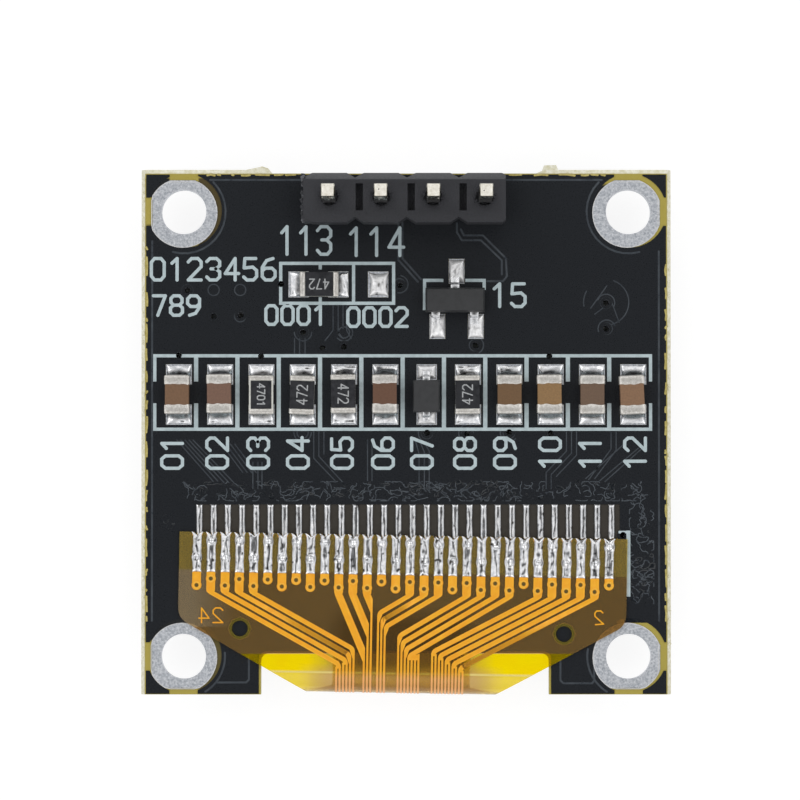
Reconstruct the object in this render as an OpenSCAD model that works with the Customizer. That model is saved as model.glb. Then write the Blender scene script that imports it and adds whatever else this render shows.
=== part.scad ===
// Small OLED display module with its component side up: +Z looks out of the side that carries
// the chips and the pin header, +Y points to the header edge, the display face lies on Z = 0
// and the origin is the middle of the four mounting holes.

/* [Board] */
// Width of the laminate across the scored side edges
board_w = 26.12; // [25.6:0.02:30]
// Length of the laminate from the notched edge to the header edge
board_l = 25.86; // [25.6:0.02:30]
// Thickness of the laminate
board_t = 1.2; // [0.8:0.1:1.6]
// Width of the bare score slope along the side edges
score_w = 0.24; // [0.12:0.02:0.4]
// Depth of the score slope
score_depth = 0.38; // [0.15:0.01:0.5]
// Thickness of the solder mask
mask_t = 0.03; // [0.02:0.005:0.05]
// Thickness of the copper lands
land_t = 0.035; // [0.03:0.005:0.07]
// Thickness of the printed legend
legend_t = 0.02; // [0.01:0.005:0.03]
// Width of a legend line
legend_line = 0.16; // [0.12:0.01:0.24]
// Diameter of a via hole
via_d = 0.3; // [0.2:0.02:0.4]
// Width of the copper ring round a via, under the mask
via_ring = 0.14; // [0.1:0.01:0.2]
// Rise of the mask over a via's ring
via_rise = 0.015; // [0.01:0.005:0.02]

/* [Flex notch] */
// Width of the notch that the flex folds through
notch_w = 14.19; // [12:0.01:16]
// Depth of the notch
notch_depth = 2.03; // [1.5:0.01:2.4]
// Radius of the notch's inner corners
notch_r = 0.4; // [0.2:0.05:0.8]
// Sideways place of the notch's middle
notch_x = -0.055; // [-0.3:0.005:0.3]

/* [Mounting holes] */
// Distance from a hole's centre to the side edge
hole_inset_side = 2.1; // [2.06:0.01:2.4]
// Distance from a hole's centre to the header edge
hole_inset_top = 2.07; // [2.04:0.01:2.4]
// Distance from a hole's centre to the notched edge
hole_inset_bottom = 1.87; // [1.84:0.01:2.2]
// Diameter of the plated holes
hole_d = 2.22; // [1.8:0.02:2.4]
// Thickness of the plating in the holes
plating = 0.04; // [0.03:0.01:0.06]
// Diameter of the plated lands round the holes
ring_d = 3.44; // [3:0.02:3.6]
// Distance from a hole's centre to the flats cut along the two near edges
ring_flat = 1.55; // [1.45:0.01:1.6]
// Slip of the drilled holes to the right and up on their lands
drill_slip = 0.06; // [0:0.01:0.1]
// Diameter of the mask openings round the lands
ring_opening_d = 3.66; // [3.6:0.02:3.8]
// Slip of the mask openings to the right and up
mask_slip = 0.05; // [0:0.01:0.1]
// Half width of the bare patch between a hole and a near edge
bare_half = 0.7; // [0.4:0.05:1.2]

/* [Pin header] */
// Number of pins
pins = 4; // [2:1:6]
// Pin pitch
pin_pitch = 2.54; // [2.5:0.01:2.6]
// Width of a square pin
pin_w = 0.64; // [0.6:0.01:0.7]
// Length of pin above the plastic
pin_above = 6; // [4:0.1:8]
// Length of tail below the board
pin_tail = 1.2; // [0.8:0.1:1.3]
// Length of the chamfer round the tip
pin_tip = 0.12; // [0.05:0.01:0.4]
// Depth of the plastic across the row
housing_d = 2.46; // [2.3:0.02:2.6]
// Height of the plastic
housing_h = 2.54; // [2:0.02:2.8]
// Corner cut of each plastic segment, along the row
housing_cut = 0.42; // [0.3:0.02:0.6]
// Depth of that corner cut across the row
housing_notch = 0.27; // [0.15:0.01:0.4]
// Distance from the first pin to the torn end of the strip
torn_end = 1.3; // [1.2:0.01:1.4]
// Distance from the last pin to the cut end of the strip
cut_end = 1.02; // [0.95:0.01:1.25]
// Sideways step from the middle between two pins to the slot there
slot_step = 0.2; // [0:0.01:0.25]
// Distance from the header edge of the board to the row of pins
header_inset = 1.48; // [1.45:0.01:1.8]
// Sideways place of the header's middle
header_x = 0.05; // [-0.3:0.01:0.3]
// Drill for the header pins
pin_drill = 1; // [0.95:0.01:1.1]
// Diameter of the header's lands
pin_land_d = 1.8; // [1.5:0.05:2]

/* [Chip row] */
// Distance between the places of the row
row_pitch = 2.036; // [2:0.002:2.06]
// Sideways place of the row's middle
row_x = 0; // [-0.2:0.01:0.2]
// Height of the row's middle line on the board
row_y = 1.94; // [1.6:0.01:2.4]
// Length of a ceramic chip
chip_l = 1.94; // [1.8:0.02:2.1]
// Width of a ceramic chip
chip_w = 1.25; // [1.1:0.01:1.3]
// Height of a capacitor
capacitor_h = 0.85; // [0.6:0.05:1]
// Height of a resistor
resistor_h = 0.5; // [0.4:0.02:0.6]
// Length of a capacitor's metal ends
capacitor_end = 0.46; // [0.3:0.02:0.6]
// Length of a resistor's metal ends
resistor_end = 0.26; // [0.2:0.01:0.5]
// Thickness of the metal on the chips' ends
end_t = 0.03; // [0.02:0.005:0.05]
// Length of a land
land_l = 1; // [0.95:0.01:1.1]
// Width of a land
land_w = 1.275; // [1.25:0.005:1.4]
// Width of the diode's lands
diode_land_w = 1; // [0.9:0.02:1.3]
// Clear distance between the two lands of a place
land_gap = 0.98; // [0.8:0.02:1.1]
// Thickness of the solder under a chip
paste_t = 0.03; // [0.02:0.005:0.05]
// Part of a chip's height that the solder climbs
climb = 0.6; // [0.3:0.05:0.8]

/* [Address resistors] */
// Place of the middle land of the three
address_x = -3.34; // [-3.6:0.01:-3.2]
// Height of the row of three lands on the board
address_y = 7.37; // [7:0.01:7.8]
// Distance between the three lands
address_pitch = 1.96; // [1.9:0.01:2]

/* [Regulator] */
// Sideways place of the regulator's middle
regulator_x = 2.41; // [2:0.01:2.8]
// Height of the regulator's middle on the board
regulator_y = 6.58; // [6.4:0.01:6.9]
// Length of the body
regulator_l = 2.92; // [2.8:0.01:3]
// Width of the body
regulator_w = 1.22; // [1.2:0.01:1.4]
// Height from the foot to the top
regulator_h = 1.1; // [0.9:0.05:1.3]
// Distance between the two leads of one side
lead_pitch = 1.9; // [1.8:0.01:2]
// Width of a lead
lead_w = 0.42; // [0.35:0.01:0.5]
// Thickness of a lead
lead_t = 0.14; // [0.1:0.01:0.16]
// Gap between a moulded body and the solder under its feet
body_lift = 0.06; // [0.03:0.01:0.1]
// Width from lead tip to lead tip
lead_span = 2.4; // [2.2:0.02:2.6]
// Distance from the middle of the three lands to the middle of one of them
regulator_reach = 1.36; // [1.3:0.01:1.45]
// Length of the regulator's lands
regulator_land_l = 1.22; // [1.1:0.02:1.3]
// Slip of the regulator on its lands, to the left and down
regulator_slip = 0.08; // [0:0.01:0.12]

/* [Diode] */
// Length of the body
diode_l = 1.6; // [1.5:0.02:1.8]
// Width of the body
diode_w = 1.32; // [1.1:0.01:1.4]
// Height of the body
diode_h = 0.95; // [0.8:0.05:1.1]
// Width from lead tip to lead tip
diode_span = 2.5; // [2.3:0.02:2.6]
// Width of a lead
diode_lead_w = 0.36; // [0.25:0.01:0.4]

/* [Display panel] */
// Width of the glass
glass_w = 24.74; // [24:0.02:25.4]
// Height of the front glass, with its contact ledge
glass_l = 16.9; // [16.4:0.05:17.6]
// Thickness of each glass
glass_t = 0.5; // [0.4:0.05:0.6]
// Depth of the contact ledge
ledge = 2.7; // [2.5:0.05:3]
// Thickness of the seal between the glasses
seal_t = 0.02; // [0.02:0.005:0.04]
// Width of the seal
seal_w = 0.9; // [0.6:0.05:1.2]
// Border between the lit area and the glass at the sides
border_side = 1.5; // [1.3:0.02:3]
// Border between the lit area and the rear glass above and below
border_end = 1.67; // [1.5:0.01:3]
// Thickness of the pixel layers
pixel_t = 0.01; // [0.005:0.001:0.015]
// Thickness of the polarizer
polarizer_t = 0.2; // [0.15:0.01:0.3]
// Margin of the polarizer round the lit area
polarizer_margin = 0.9; // [0.5:0.05:1]
// Thickness of the adhesive between panel and board
tape_t = 0.27; // [0.2:0.01:0.5]
// Margin between the adhesive and the rear glass
tape_margin = 1.2; // [0.8:0.1:2]
// Length of the driver chip
driver_l = 6.8; // [6:0.1:8]
// Width of the driver chip
driver_w = 0.88; // [0.8:0.02:1]
// Height of the driver chip
driver_h = 0.3; // [0.2:0.02:0.4]

/* [Flex] */
// Number of contact fingers
fingers = 30; // [30:1:30]
// Finger pitch
finger_pitch = 0.7; // [0.69:0.002:0.706]
// Width of a tinned finger
finger_w = 0.43; // [0.36:0.01:0.46]
// Width of a board land under the fingers
flex_land_w = 0.28; // [0.24:0.01:0.34]
// Sideways step from the fingers to the board lands
flex_land_step = 0.16; // [0:0.01:0.2]
// Length of board land that shows beyond the flex
flex_land_show = 1.53; // [1.2:0.01:1.8]
// Height of the flex's free edge on the board
flex_top = -5; // [-5.2:0.01:-4.8]
// Sideways place of the flex's middle
flex_x = -0.19; // [-0.3:0.01:0]
// Turn of the flex as soldered
flex_turn = -1; // [-1.2:0.1:1.2]
// Thickness of the film
film_t = 0.1; // [0.06:0.01:0.14]
// Thickness of the flex's copper
copper_t = 0.02; // [0.015:0.005:0.03]
// Margin of the film beside the outer fingers
film_margin = 0.88; // [0.6:0.02:0.9]
// Length of the tinned part of a finger
tinned_l = 2; // [1.6:0.02:2.1]
// Height of the film's shoulders on the board
shoulder_y = -8.75; // [-8.9:0.01:-8.6]
// Radius of the film's shoulders
shoulder_r = 0.85; // [0.5:0.05:1]
// Slope of the film's tapered sides
taper = 29; // [28:0.1:30]
// Distance from the notch's edge to where the film starts to bend
bend_start = 0.9; // [0.8:0.01:1]
// Width of a copper trace on its slanting run
trace_w = 0.23; // [0.2:0.01:0.26]
// Inner radius of a trace's bend into the fold
trace_r = 0.12; // [0.05:0.01:0.2]
// Width of a copper line through the fold
line_w = 0.1; // [0.08:0.005:0.12]
// Pitch of the copper lines through the fold
line_pitch = 0.168; // [0.16:0.002:0.18]
// Diameter of the alignment holes
align_d = 0.78; // [0.7:0.02:0.9]
// Distance of the alignment holes from the flex's middle
align_x = 7.98; // [7.8:0.01:8.1]
// Height of the alignment holes on the board
align_y = -9.72; // [-9.8:0.01:-9.6]
// Half width of the film's lower leg, beyond the fold
leg_half = 3.4; // [3.3:0.05:4]
// Depth of the bond between flex and glass
bond = 1.1; // [0.9:0.05:1.3]

/* [Hidden] */
$fn = 48;
nudge = 0.01;

// Heights of the stack, from the display face up
front_z = polarizer_t;
ledge_z = front_z + glass_t;
rear_z = ledge_z + seal_t;
tape_z = rear_z + glass_t;
mask_front_z = tape_z + tape_t;
board_z = mask_front_z + mask_t;
back_z = board_z + board_t;
mask_top_z = back_z + mask_t;
land_top_z = back_z + land_t;
chip_z = land_top_z + paste_t;
film_z = land_top_z + paste_t;
film_top_z = film_z + film_t;

hole_x = board_w / 2 - hole_inset_side;
hole_y = (board_l - hole_inset_top - hole_inset_bottom) / 2;
board_top = hole_y + hole_inset_top;
board_bottom = hole_y + hole_inset_bottom;
CORNERS = [[-1, 1], [1, 1], [-1, -1], [1, -1]];
notch_bottom = -board_bottom + notch_depth;
header_y = board_top - header_inset;
land_at = (land_gap + land_l) / 2;
row_w = 12 * row_pitch;
panel_y = 0;
rear_l = glass_l - ledge;
rear_y = panel_y + ledge / 2;
lit_w = glass_w - 2 * border_side;
lit_l = rear_l - 2 * border_end;

// The chip row from left to right: name, kind, slip sideways, slip up and turn as soldered
ROW = [
    ["c6", "capacitor", -0.07, -0.01, 0], ["c5", "capacitor", -0.04, 0.03, 0.4],
    ["r5", "resistor", -0.01, -0.02, 0], ["r6", "resistor", -0.03, -0.03, -2],
    ["r7", "resistor", -0.04, 0.03, 0.4], ["c9", "capacitor", -0.03, 0.02, 0],
    ["d1", "diode", -0.02, -0.09, 0], ["r10", "resistor", -0.03, -0.01, 0.6],
    ["c2", "capacitor", 0, 0, 0], ["c1", "capacitor", -0.07, 0.01, 0.5],
    ["c4", "capacitor", 0, -0.01, 0], ["c3", "capacitor", -0.08, -0.03, 2.6]
];
CAPACITORS = [for (part = ROW) if (part[1] == "capacitor") part[0]];
RESISTORS = concat([for (part = ROW) if (part[1] == "resistor") part[0]], ["r11"]);
DIODE = [for (i = [0:len(ROW) - 1]) if (ROW[i][1] == "diode") i][0];

// Via holes on the board
VIAS = [
    [-11.2, 3.88], [-7.15, 3.83], [7.06, 3.83], [7.13, 0.03], [1.03, 0.06], [3.02, 0],
    [5.08, 0.08], [-6.17, 7.39], [-9.49, 5.8], [-10.79, 7.08], [-8.16, 5.85], [-5.08, 5.01],
    [-4.13, 4.26], [-3.06, 4.3], [-0.3, 7.33], [3.43, 4.37], [9.86, 6.46], [9.86, 5.19],
    [-6.63, -3.07], [6.63, -3.09], [10.69, -4.98]
];

// Flex fingers and the copper lines through the fold that each one feeds, counted from the
// middle line of the fold in line pitches
TRACES = [
    [2, [-19, -18]], [3, [-17, -16]], [4, [-15]], [5, [-14]],
    [11, [-11]], [12, [-10]], [13, [-9]],
    [16, [-7]], [17, [-6]], [18, [-5]],
    [20, [-1]], [21, [0]], [22, [1]], [23, [2, 3, 4, 5]],
    [25, [9, 10]], [26, [11, 12]], [27, [13, 14]], [28, [15, 16]], [29, [17, 18]]
];
finger_span = (fingers - 1) * finger_pitch;
film_half = finger_span / 2 + film_margin;
tinned_end = flex_top + 0.04 - tinned_l;
via_low = tinned_end - 0.66;
via_high = tinned_end - 0.33;
bulge_low = flex_top - 1.24;
bulge_high = flex_top - 0.42;
finger_land_r = 0.245;
finger_via_r = 0.1;
finger_notch_r = 0.15;
finger_flare = 0.52;
trace_start = via_low - 0.33;
outer_slope = 28.4;
inner_slope = 31.5;
steep_slope = 66.3;
bend_y = notch_bottom - bend_start;
copper_r = (film_top_z + copper_t - ledge_z) / 2;
film_r = copper_r - copper_t;
bend_z = ledge_z + copper_r;
fold_y = bend_y - film_r;
neck_half = film_half - shoulder_r * (1 - sin(taper))
    - (shoulder_y - fold_y - shoulder_r * cos(taper)) / tan(taper);
bond_end = panel_y - glass_l / 2 + bond;
flex_land_x = flex_x + flex_land_step;

function node_names() = concat(
    ["board_laminate", "solder_mask_back", "solder_mask_front", "legend_back", "board_lands"],
    ["flex_lands"],
    [for (i = [1:4]) str("mounting_ring_", i)],
    ["header_housing"],
    [for (i = [1:pins]) str("header_pin_", i)],
    ["header_solder"],
    [for (c = CAPACITORS) str("capacitor_", c, "_body")],
    [for (c = CAPACITORS) str("capacitor_", c, "_ends")],
    [for (r = RESISTORS) str("resistor_", r, "_body")],
    [for (r = RESISTORS) str("resistor_", r, "_coat")],
    [for (r = RESISTORS) str("resistor_", r, "_ends")],
    ["diode_body", "diode_leads", "regulator_body", "regulator_leads", "chip_solder"],
    ["flex_film", "flex_copper", "flex_solder"],
    ["front_glass", "rear_glass", "glass_seal", "pixel_layers", "polarizer", "driver_chip"],
    ["adhesive_pad"]
);

// ---- shared shapes -------------------------------------------------------------------------

module box(w, l, h) {
    translate([-w / 2, -l / 2, 0]) cube([w, l, h]);
}

// A rectangle from one corner to the other
module span(x0, y0, x1, y1) {
    translate([min(x0, x1), min(y0, y1)]) square([abs(x1 - x0), abs(y1 - y0)]);
}

module rounded_square(w, l, r) {
    square([w - 2 * r, l], center = true);
    square([w, l - 2 * r], center = true);
    for (x = [-1, 1], y = [-1, 1])
        translate([x * (w / 2 - r), y * (l / 2 - r)]) circle(r);
}

// A block rounded along its upright edges and its two long top edges
module pebble(w, l, h, r) {
    intersection() {
        linear_extrude(h) rounded_square(w, l, r);
        translate([0, l, h / 2]) rotate([90, 0, 0])
            linear_extrude(2 * l) rounded_square(w, h, r);
    }
}

// A block whose four sides lean in from the middle of its height
module drafted(w, l, h, lean) {
    intersection() {
        translate([0, l, 0]) rotate([90, 0, 0]) linear_extrude(2 * l) drafted_side(w, h, lean);
        translate([-w, 0, 0]) rotate([90, 0, 90]) linear_extrude(2 * w) drafted_side(l, h, lean);
    }
}

module drafted_side(w, h, lean) {
    polygon([
        [lean - w / 2, 0], [w / 2 - lean, 0], [w / 2, h * 0.45],
        [w / 2 - lean, h], [lean - w / 2, h], [-w / 2, h * 0.45]
    ]);
}

// A long low bead with a round top, along Y from y0 to y1
module bead(w, h, y0, y1) {
    r = (w * w / 4 + h * h) / (2 * h);
    translate([0, y1, 0]) rotate([90, 0, 0]) linear_extrude(y1 - y0) intersection() {
        translate([0, h - r]) circle(r, $fn = 96);
        translate([-w, 0]) square([2 * w, 2 * h]);
    }
}

// A solder fillet against a wall at y = 0 that runs out at y = reach
module fillet(w, reach, h) {
    r = max(reach, h) * 1.15;
    skew = atan2(h, reach);
    gap = sqrt(r * r - (reach * reach + h * h) / 4);
    translate([-w / 2, 0, 0]) rotate([90, 0, 90]) linear_extrude(w) difference() {
        polygon([[0, 0], [reach, 0], [0, h]]);
        translate([reach / 2 + gap * sin(skew), h / 2 + gap * cos(skew)]) circle(r, $fn = 96);
    }
}

// Places and turns a part of the chip row
module row_place(i) {
    translate([row_x + (i - 5.5) * row_pitch, row_y, 0]) children();
}

module soldered(i) {
    row_place(i) translate([ROW[i][2], ROW[i][3], 0]) rotate(ROW[i][4]) children();
}

module address_chip() {
    translate([address_x - address_pitch / 2 + 0.04, address_y, 0]) rotate(90) children();
}

// Runs over every two-ended ceramic chip by name
module chip_place(name) {
    if (name == "r11") address_chip() children();
    else for (i = [0:len(ROW) - 1]) if (ROW[i][0] == name) soldered(i) children();
}

module hole_place(c) {
    translate([c[0] * hole_x, c[1] * hole_y]) children();
}

module at_holes() {
    for (c = CORNERS) hole_place(c) children();
}

module at_pins() {
    for (i = [0:pins - 1])
        translate([header_x + (i - (pins - 1) / 2) * pin_pitch, header_y]) children();
}

module at_vias() {
    for (v = VIAS) translate(v) children();
}

// ---- board ---------------------------------------------------------------------------------

module notch_outline(grow) {
    left = notch_x - notch_w / 2 - grow;
    right = notch_x + notch_w / 2 + grow;
    top = notch_bottom + grow;
    difference() {
        span(left, -board_bottom - 1, right, top);
        for (side = [[left, 1], [right, -1]]) difference() {
            span(side[0], top, side[0] + side[1] * notch_r, top - notch_r);
            translate([side[0] + side[1] * notch_r, top - notch_r]) circle(notch_r);
        }
    }
}

// The broken-out edge: bare tabs at both ends of the header edge, with torn burrs
module board_outline() {
    half = board_w / 2;
    dip = board_top - 0.18;
    difference() {
        polygon([
            [-half, -board_bottom], [half, -board_bottom], [half, board_top], [7.5, board_top],
            [7.4, board_top + 0.24], [6.8, board_top + 0.22], [6.7, board_top - 0.05],
            [6.4, dip], [-6.6, dip], [-6.8, board_top + 0.08], [-7.1, board_top + 0.17],
            [-7.9, board_top], [-half, board_top]
        ]);
        notch_outline(0);
    }
}

// The slope that a scoring wheel leaves along a side edge
module score(side) {
    edge = side * board_w / 2;
    for (z = [[board_z, 1], [back_z, -1]]) translate([0, board_top + 1, 0]) rotate([90, 0, 0])
        linear_extrude(board_top + board_bottom + 2) polygon([
            [edge - side * score_w, z[0]], [edge + side, z[0] - z[1]],
            [edge + side, z[0] + z[1] * score_depth], [edge, z[0] + z[1] * score_depth]
        ]);
}

module board_laminate() {
    color("#B9AE72") difference() {
        translate([0, 0, board_z]) linear_extrude(board_t) difference() {
            board_outline();
            at_holes() circle(hole_d / 2 + plating);
            at_pins() circle(pin_drill / 2 + plating);
            at_vias() circle(via_d / 2 + plating);
        }
        for (side = [-1, 1]) score(side);
    }
}

module mask_outline() {
    rim = board_w / 2 - score_w;
    difference() {
        span(-rim, -board_bottom + 0.03, rim, board_top - score_w);
        notch_outline(0.1);
        at_holes() translate([mask_slip, mask_slip]) circle(ring_opening_d / 2);
        at_holes() translate([-drill_slip, -drill_slip]) circle(ring_d / 2 + nudge);
        at_pins() circle(pin_land_d / 2 + 0.05);
    }
}

// The patches between a hole and the two near edges are left bare
module bare_patches() {
    for (c = CORNERS) hole_place(c) {
        span(0, -bare_half, c[0] * 3, bare_half);
        span(-bare_half, 0, bare_half, c[1] * 3);
    }
}

// The mask lies over the vias' rings and rises a little there
module via_tents(z, rise) {
    at_vias() translate([0, 0, z]) cylinder(r = via_d / 2 + via_ring, h = rise);
}

module via_bores() {
    at_vias() translate([0, 0, -1]) cylinder(r = via_d / 2, h = back_z + 2);
}

module solder_mask_back() {
    color("#20242A") difference() {
        union() {
            translate([0, 0, back_z]) linear_extrude(mask_t) difference() {
                mask_outline();
                bare_patches();
                land_outlines(nudge);
                flex_window();
            }
            via_tents(mask_top_z - nudge, via_rise + nudge);
        }
        via_tents(back_z - nudge, via_rise + nudge);
        via_bores();
    }
}

module solder_mask_front() {
    color("#20242A") difference() {
        translate([0, 0, mask_front_z]) linear_extrude(mask_t) mask_outline();
        via_bores();
    }
}

module flex_window() {
    reach = finger_span / 2 + flex_land_w / 2;
    translate([flex_land_x, 0])
        span(-reach - nudge, flex_top + flex_land_show, reach + 0.27, tinned_end);
}

// Lands of the chips, each grown by the given margin
module land_outlines(grow) {
    for (i = [0:len(ROW) - 1], end = [-1, 1]) row_place(i) translate([0, end * land_at])
        square([row_land_w(i), land_l] + 2 * [grow, grow], center = true);
    for (i = [-1:1]) translate([address_x + i * address_pitch, address_y])
        square([land_l, land_w] + 2 * [grow, grow], center = true);
    at_regulator_lands()
        square([regulator_land_w, regulator_land_l] + 2 * [grow, grow], center = true);
}

function row_land_w(i) = ROW[i][1] == "diode" ? diode_land_w : land_w;

// Sideways place and side of the regulator's three leads
REGULATOR_LEADS = [[0, 1], [-lead_pitch / 2, -1], [lead_pitch / 2, -1]];
regulator_land_w = lead_w + 0.36;

module at_regulator_lands() {
    for (lead = REGULATOR_LEADS) translate([regulator_x + regulator_slip + lead[0],
        regulator_y + regulator_slip + lead[1] * regulator_reach]) children();
}

module tube(r_out, r_in, z0, z1) {
    translate([0, 0, z0]) linear_extrude(z1 - z0) difference() {
        circle(r_out);
        circle(r_in);
    }
}

module board_lands() {
    color("#B8BCC4") {
        translate([0, 0, back_z]) linear_extrude(land_t) land_outlines(0);
        at_pins() plated_hole(pin_drill / 2, pin_land_d / 2);
        at_vias() {
            tube(via_d / 2 + plating, via_d / 2, board_z, back_z + via_rise);
            tube(via_d / 2 + via_ring, via_d / 2 + plating, back_z, back_z + via_rise);
        }
    }
}

// A plated barrel with a land on both faces of the board
module plated_hole(r, land_r) {
    tube(r + plating, r, board_z - mask_t, back_z + land_t);
    tube(land_r, r + plating, board_z - mask_t, board_z);
    tube(land_r, r + plating, back_z, back_z + land_t);
}

module flex_lands() {
    color("#C4C8CE") translate([flex_land_x, 0, back_z]) linear_extrude(land_t) at_fingers()
        translate([-flex_land_w / 2, tinned_end + 0.1])
            square([flex_land_w, flex_top + flex_land_show - tinned_end - 0.1]);
}

module mounting_ring(i) {
    c = CORNERS[i - 1];
    color("#C9CCD0") hole_place(c) {
        tube(hole_d / 2 + plating, hole_d / 2, board_z - mask_t, back_z + land_t);
        for (z = [[board_z - mask_t, mask_t], [back_z, land_t]])
            translate([0, 0, z[0]]) linear_extrude(z[1]) difference() {
                translate([-drill_slip, -drill_slip]) circle(ring_d / 2);
                circle(hole_d / 2 + plating);
                span(c[0] * ring_flat, -3, c[0] * 3, 3);
                span(-3, c[1] * ring_flat, 3, c[1] * 3);
            }
    }
}

// ---- legend --------------------------------------------------------------------------------

module stroke(x0, y0, x1, y1, w = legend_line) {
    span(min(x0, x1) - w / 2, min(y0, y1) - w / 2, max(x0, x1) + w / 2, max(y0, y1) + w / 2);
}

// Frames of the chip row: a capacitor's long sides are open in the middle
module row_legend() {
    left = row_x - row_w / 2 - 0.17;
    low = row_y - 1.71;
    high = row_y + 1.91;
    for (y = [low, high]) stroke(left, y, left + row_w, y);
    for (i = [0:12]) {
        x = left + i * row_pitch;
        half = legend_line * (i == 0 || i == 12 ? 0.5 : 0.65);
        if (is_capacitor(i - 1) && is_capacitor(i)) {
            span(x - half, low, x + half, row_y - 0.43);
            span(x - half, row_y + 0.64, x + half, high);
        } else span(x - half, low, x + half, high);
    }
}

function is_capacitor(i) = i < 0 || i > 11 || ROW[i][1] == "capacitor";

module address_legend() {
    left = address_x - address_pitch * 1.45;
    right = address_x + address_pitch * 1.39;
    mid = address_x + 0.75;
    low = address_y - 0.93;
    high = address_y + 1.04;
    for (y = [low, high]) stroke(left, y, right, y);
    for (x = [left, mid, right]) stroke(x, low, x, high);
    for (y = [low, high]) stroke(left + 1.95, y, left + 1.95, y + (y == low ? 0.22 : -0.22));
}

module regulator_legend() {
    left = regulator_x - 1.5;
    right = regulator_x + 1.44;
    high = regulator_y + 0.99;
    stroke(left, high, left + 0.85, high);
    stroke(right - 0.85, high, right, high);
    stroke(left, high, left, regulator_y - 0.4);
    stroke(right, high, right, regulator_y + 0.6);
}

module flex_legend() {
    x = flex_x + film_half + 0.11;
    stroke(x, flex_top + 0.14, x, flex_top - 2.92, 1.2 * legend_line);
    stroke(x - 0.42, flex_top + 0.16, x, flex_top + 0.16, 0.8 * legend_line);
}

module legend_back() {
    color("#BCCBCF") difference() {
        translate([0, 0, mask_top_z]) linear_extrude(legend_t) difference() {
            union() {
                row_legend();
                address_legend();
                regulator_legend();
                flex_legend();
            }
            land_outlines(nudge);
        }
        via_tents(mask_top_z - nudge, via_rise + nudge);
        via_bores();
    }
}

// ---- pin header ----------------------------------------------------------------------------

module segment_outline() {
    x = pin_pitch / 2;
    y = housing_d / 2;
    side_x = x - housing_cut;
    side_y = y - housing_notch;
    polygon([
        [-x, -side_y], [-side_x, -y], [side_x, -y], [x, -side_y],
        [x, side_y], [side_x, y], [-side_x, y], [-x, side_y]
    ]);
}

// The torn stub of the next segment where the strip was snapped off
module torn_stub(first_x) {
    y = housing_d / 2;
    translate([first_x - torn_end, header_y]) polygon([
        [0.5, -y + 0.02], [0.02, -y + 0.05], [0.05, -0.7], [0, -0.35], [0.06, 0.1], [0.01, 0.5],
        [0.04, 0.85], [0.5, 0.92]
    ]);
}

module header_housing() {
    top = land_top_z + housing_h;
    row = (pins - 1) * pin_pitch / 2;
    first_x = header_x - row;
    end_x = header_x + row + cut_end;
    color("#37383C") difference() {
        translate([0, 0, land_top_z]) {
            linear_extrude(housing_h) difference() {
                at_pins() segment_outline();
                span(end_x, header_y - 2, end_x + 1, header_y + 2);
            }
            linear_extrude(housing_h - 0.05) torn_stub(first_x);
        }
        translate([0, 0, land_top_z - 1]) linear_extrude(housing_h + 2) at_pins()
            square(pin_w, center = true);
        // Moulded slots between the pins
        for (i = [1:pins - 1]) translate([first_x + (i - 0.5) * pin_pitch + slot_step, header_y, top - 0.6])
            box(0.36, 1.33, 1);
        // Round lead-in at each pin
        translate([0, 0, top - 0.1]) linear_extrude(1) at_pins() circle(0.42);
        // Sloped edge towards the board's edge
        translate([first_x - 2, header_y + housing_d / 2, top]) rotate([90, 0, 90])
            linear_extrude(2 * row + 4) polygon([[-0.37, 0.01], [1, 0.01], [1, -0.9], [0, -0.9]]);
    }
}

module pin_side(bottom, top) {
    w = pin_w / 2;
    tip = w - pin_tip / 2;
    polygon([
        [-w, bottom + pin_tip], [-tip, bottom], [tip, bottom], [w, bottom + pin_tip],
        [w, top - pin_tip], [tip, top], [-tip, top], [-w, top - pin_tip]
    ]);
}

module header_pin(i) {
    bottom = board_z - pin_tail;
    top = land_top_z + housing_h + pin_above;
    color("#E6E2D8") translate([header_x + (i - (pins + 1) / 2) * pin_pitch, header_y, 0])
        intersection() {
            translate([0, 1, 0]) rotate([90, 0, 0]) linear_extrude(2) pin_side(bottom, top);
            translate([-1, 0, 0]) rotate([90, 0, 90]) linear_extrude(2) pin_side(bottom, top);
        }
}

// Solder in each plated hole, with a cone round the tail
module header_solder() {
    face = board_z - mask_t;
    cone = min(0.75, pin_tail - 0.35);
    r = pin_drill / 2;
    color("#C9CCD0") at_pins() difference() {
        rotate_extrude() {
            span(0, face, r, land_top_z);
            polygon([[0, face], [pin_land_d / 2 - 0.05, face], [0.62, face - 0.25 * cone],
                [0.46, face - 0.6 * cone], [0.4, face - cone], [0, face - cone]]);
        }
        translate([0, 0, board_z - 3]) linear_extrude(board_t + 6) square(pin_w, center = true);
    }
}

// ---- chips ---------------------------------------------------------------------------------

// The two end zones of a chip: their inner edges bow a little towards the middle
module end_zones(l, w, end) {
    bow = 3 * w;
    for (side = [-1, 1]) translate([0, side * (l / 2 - end + bow)]) circle(bow, $fn = 144);
}

module chip_core(l, w, h) {
    translate([0, 0, chip_z + end_t]) box(w - 2 * end_t, l - 2 * end_t, h - 2 * end_t);
}

module chip_ends(l, w, h, end) {
    difference() {
        intersection() {
            translate([0, 0, chip_z]) pebble(w, l, h, 0.08);
            translate([0, 0, chip_z - 1]) linear_extrude(h + 2) end_zones(l, w, end);
        }
        chip_core(l, w, h);
    }
}

module capacitor_body(name) {
    color("#866447") chip_place(name) chip_core(chip_l, chip_w, capacitor_h);
}

module capacitor_ends(name) {
    color("#B9BDC3") chip_place(name) chip_ends(chip_l, chip_w, capacitor_h, capacitor_end);
}

module resistor_body(name) {
    color("#E9E8E2") chip_place(name) chip_core(chip_l, chip_w, resistor_h);
}

module resistor_ends(name) {
    color("#C9CCD0") chip_place(name) chip_ends(chip_l, chip_w, resistor_h, resistor_end);
}

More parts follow.
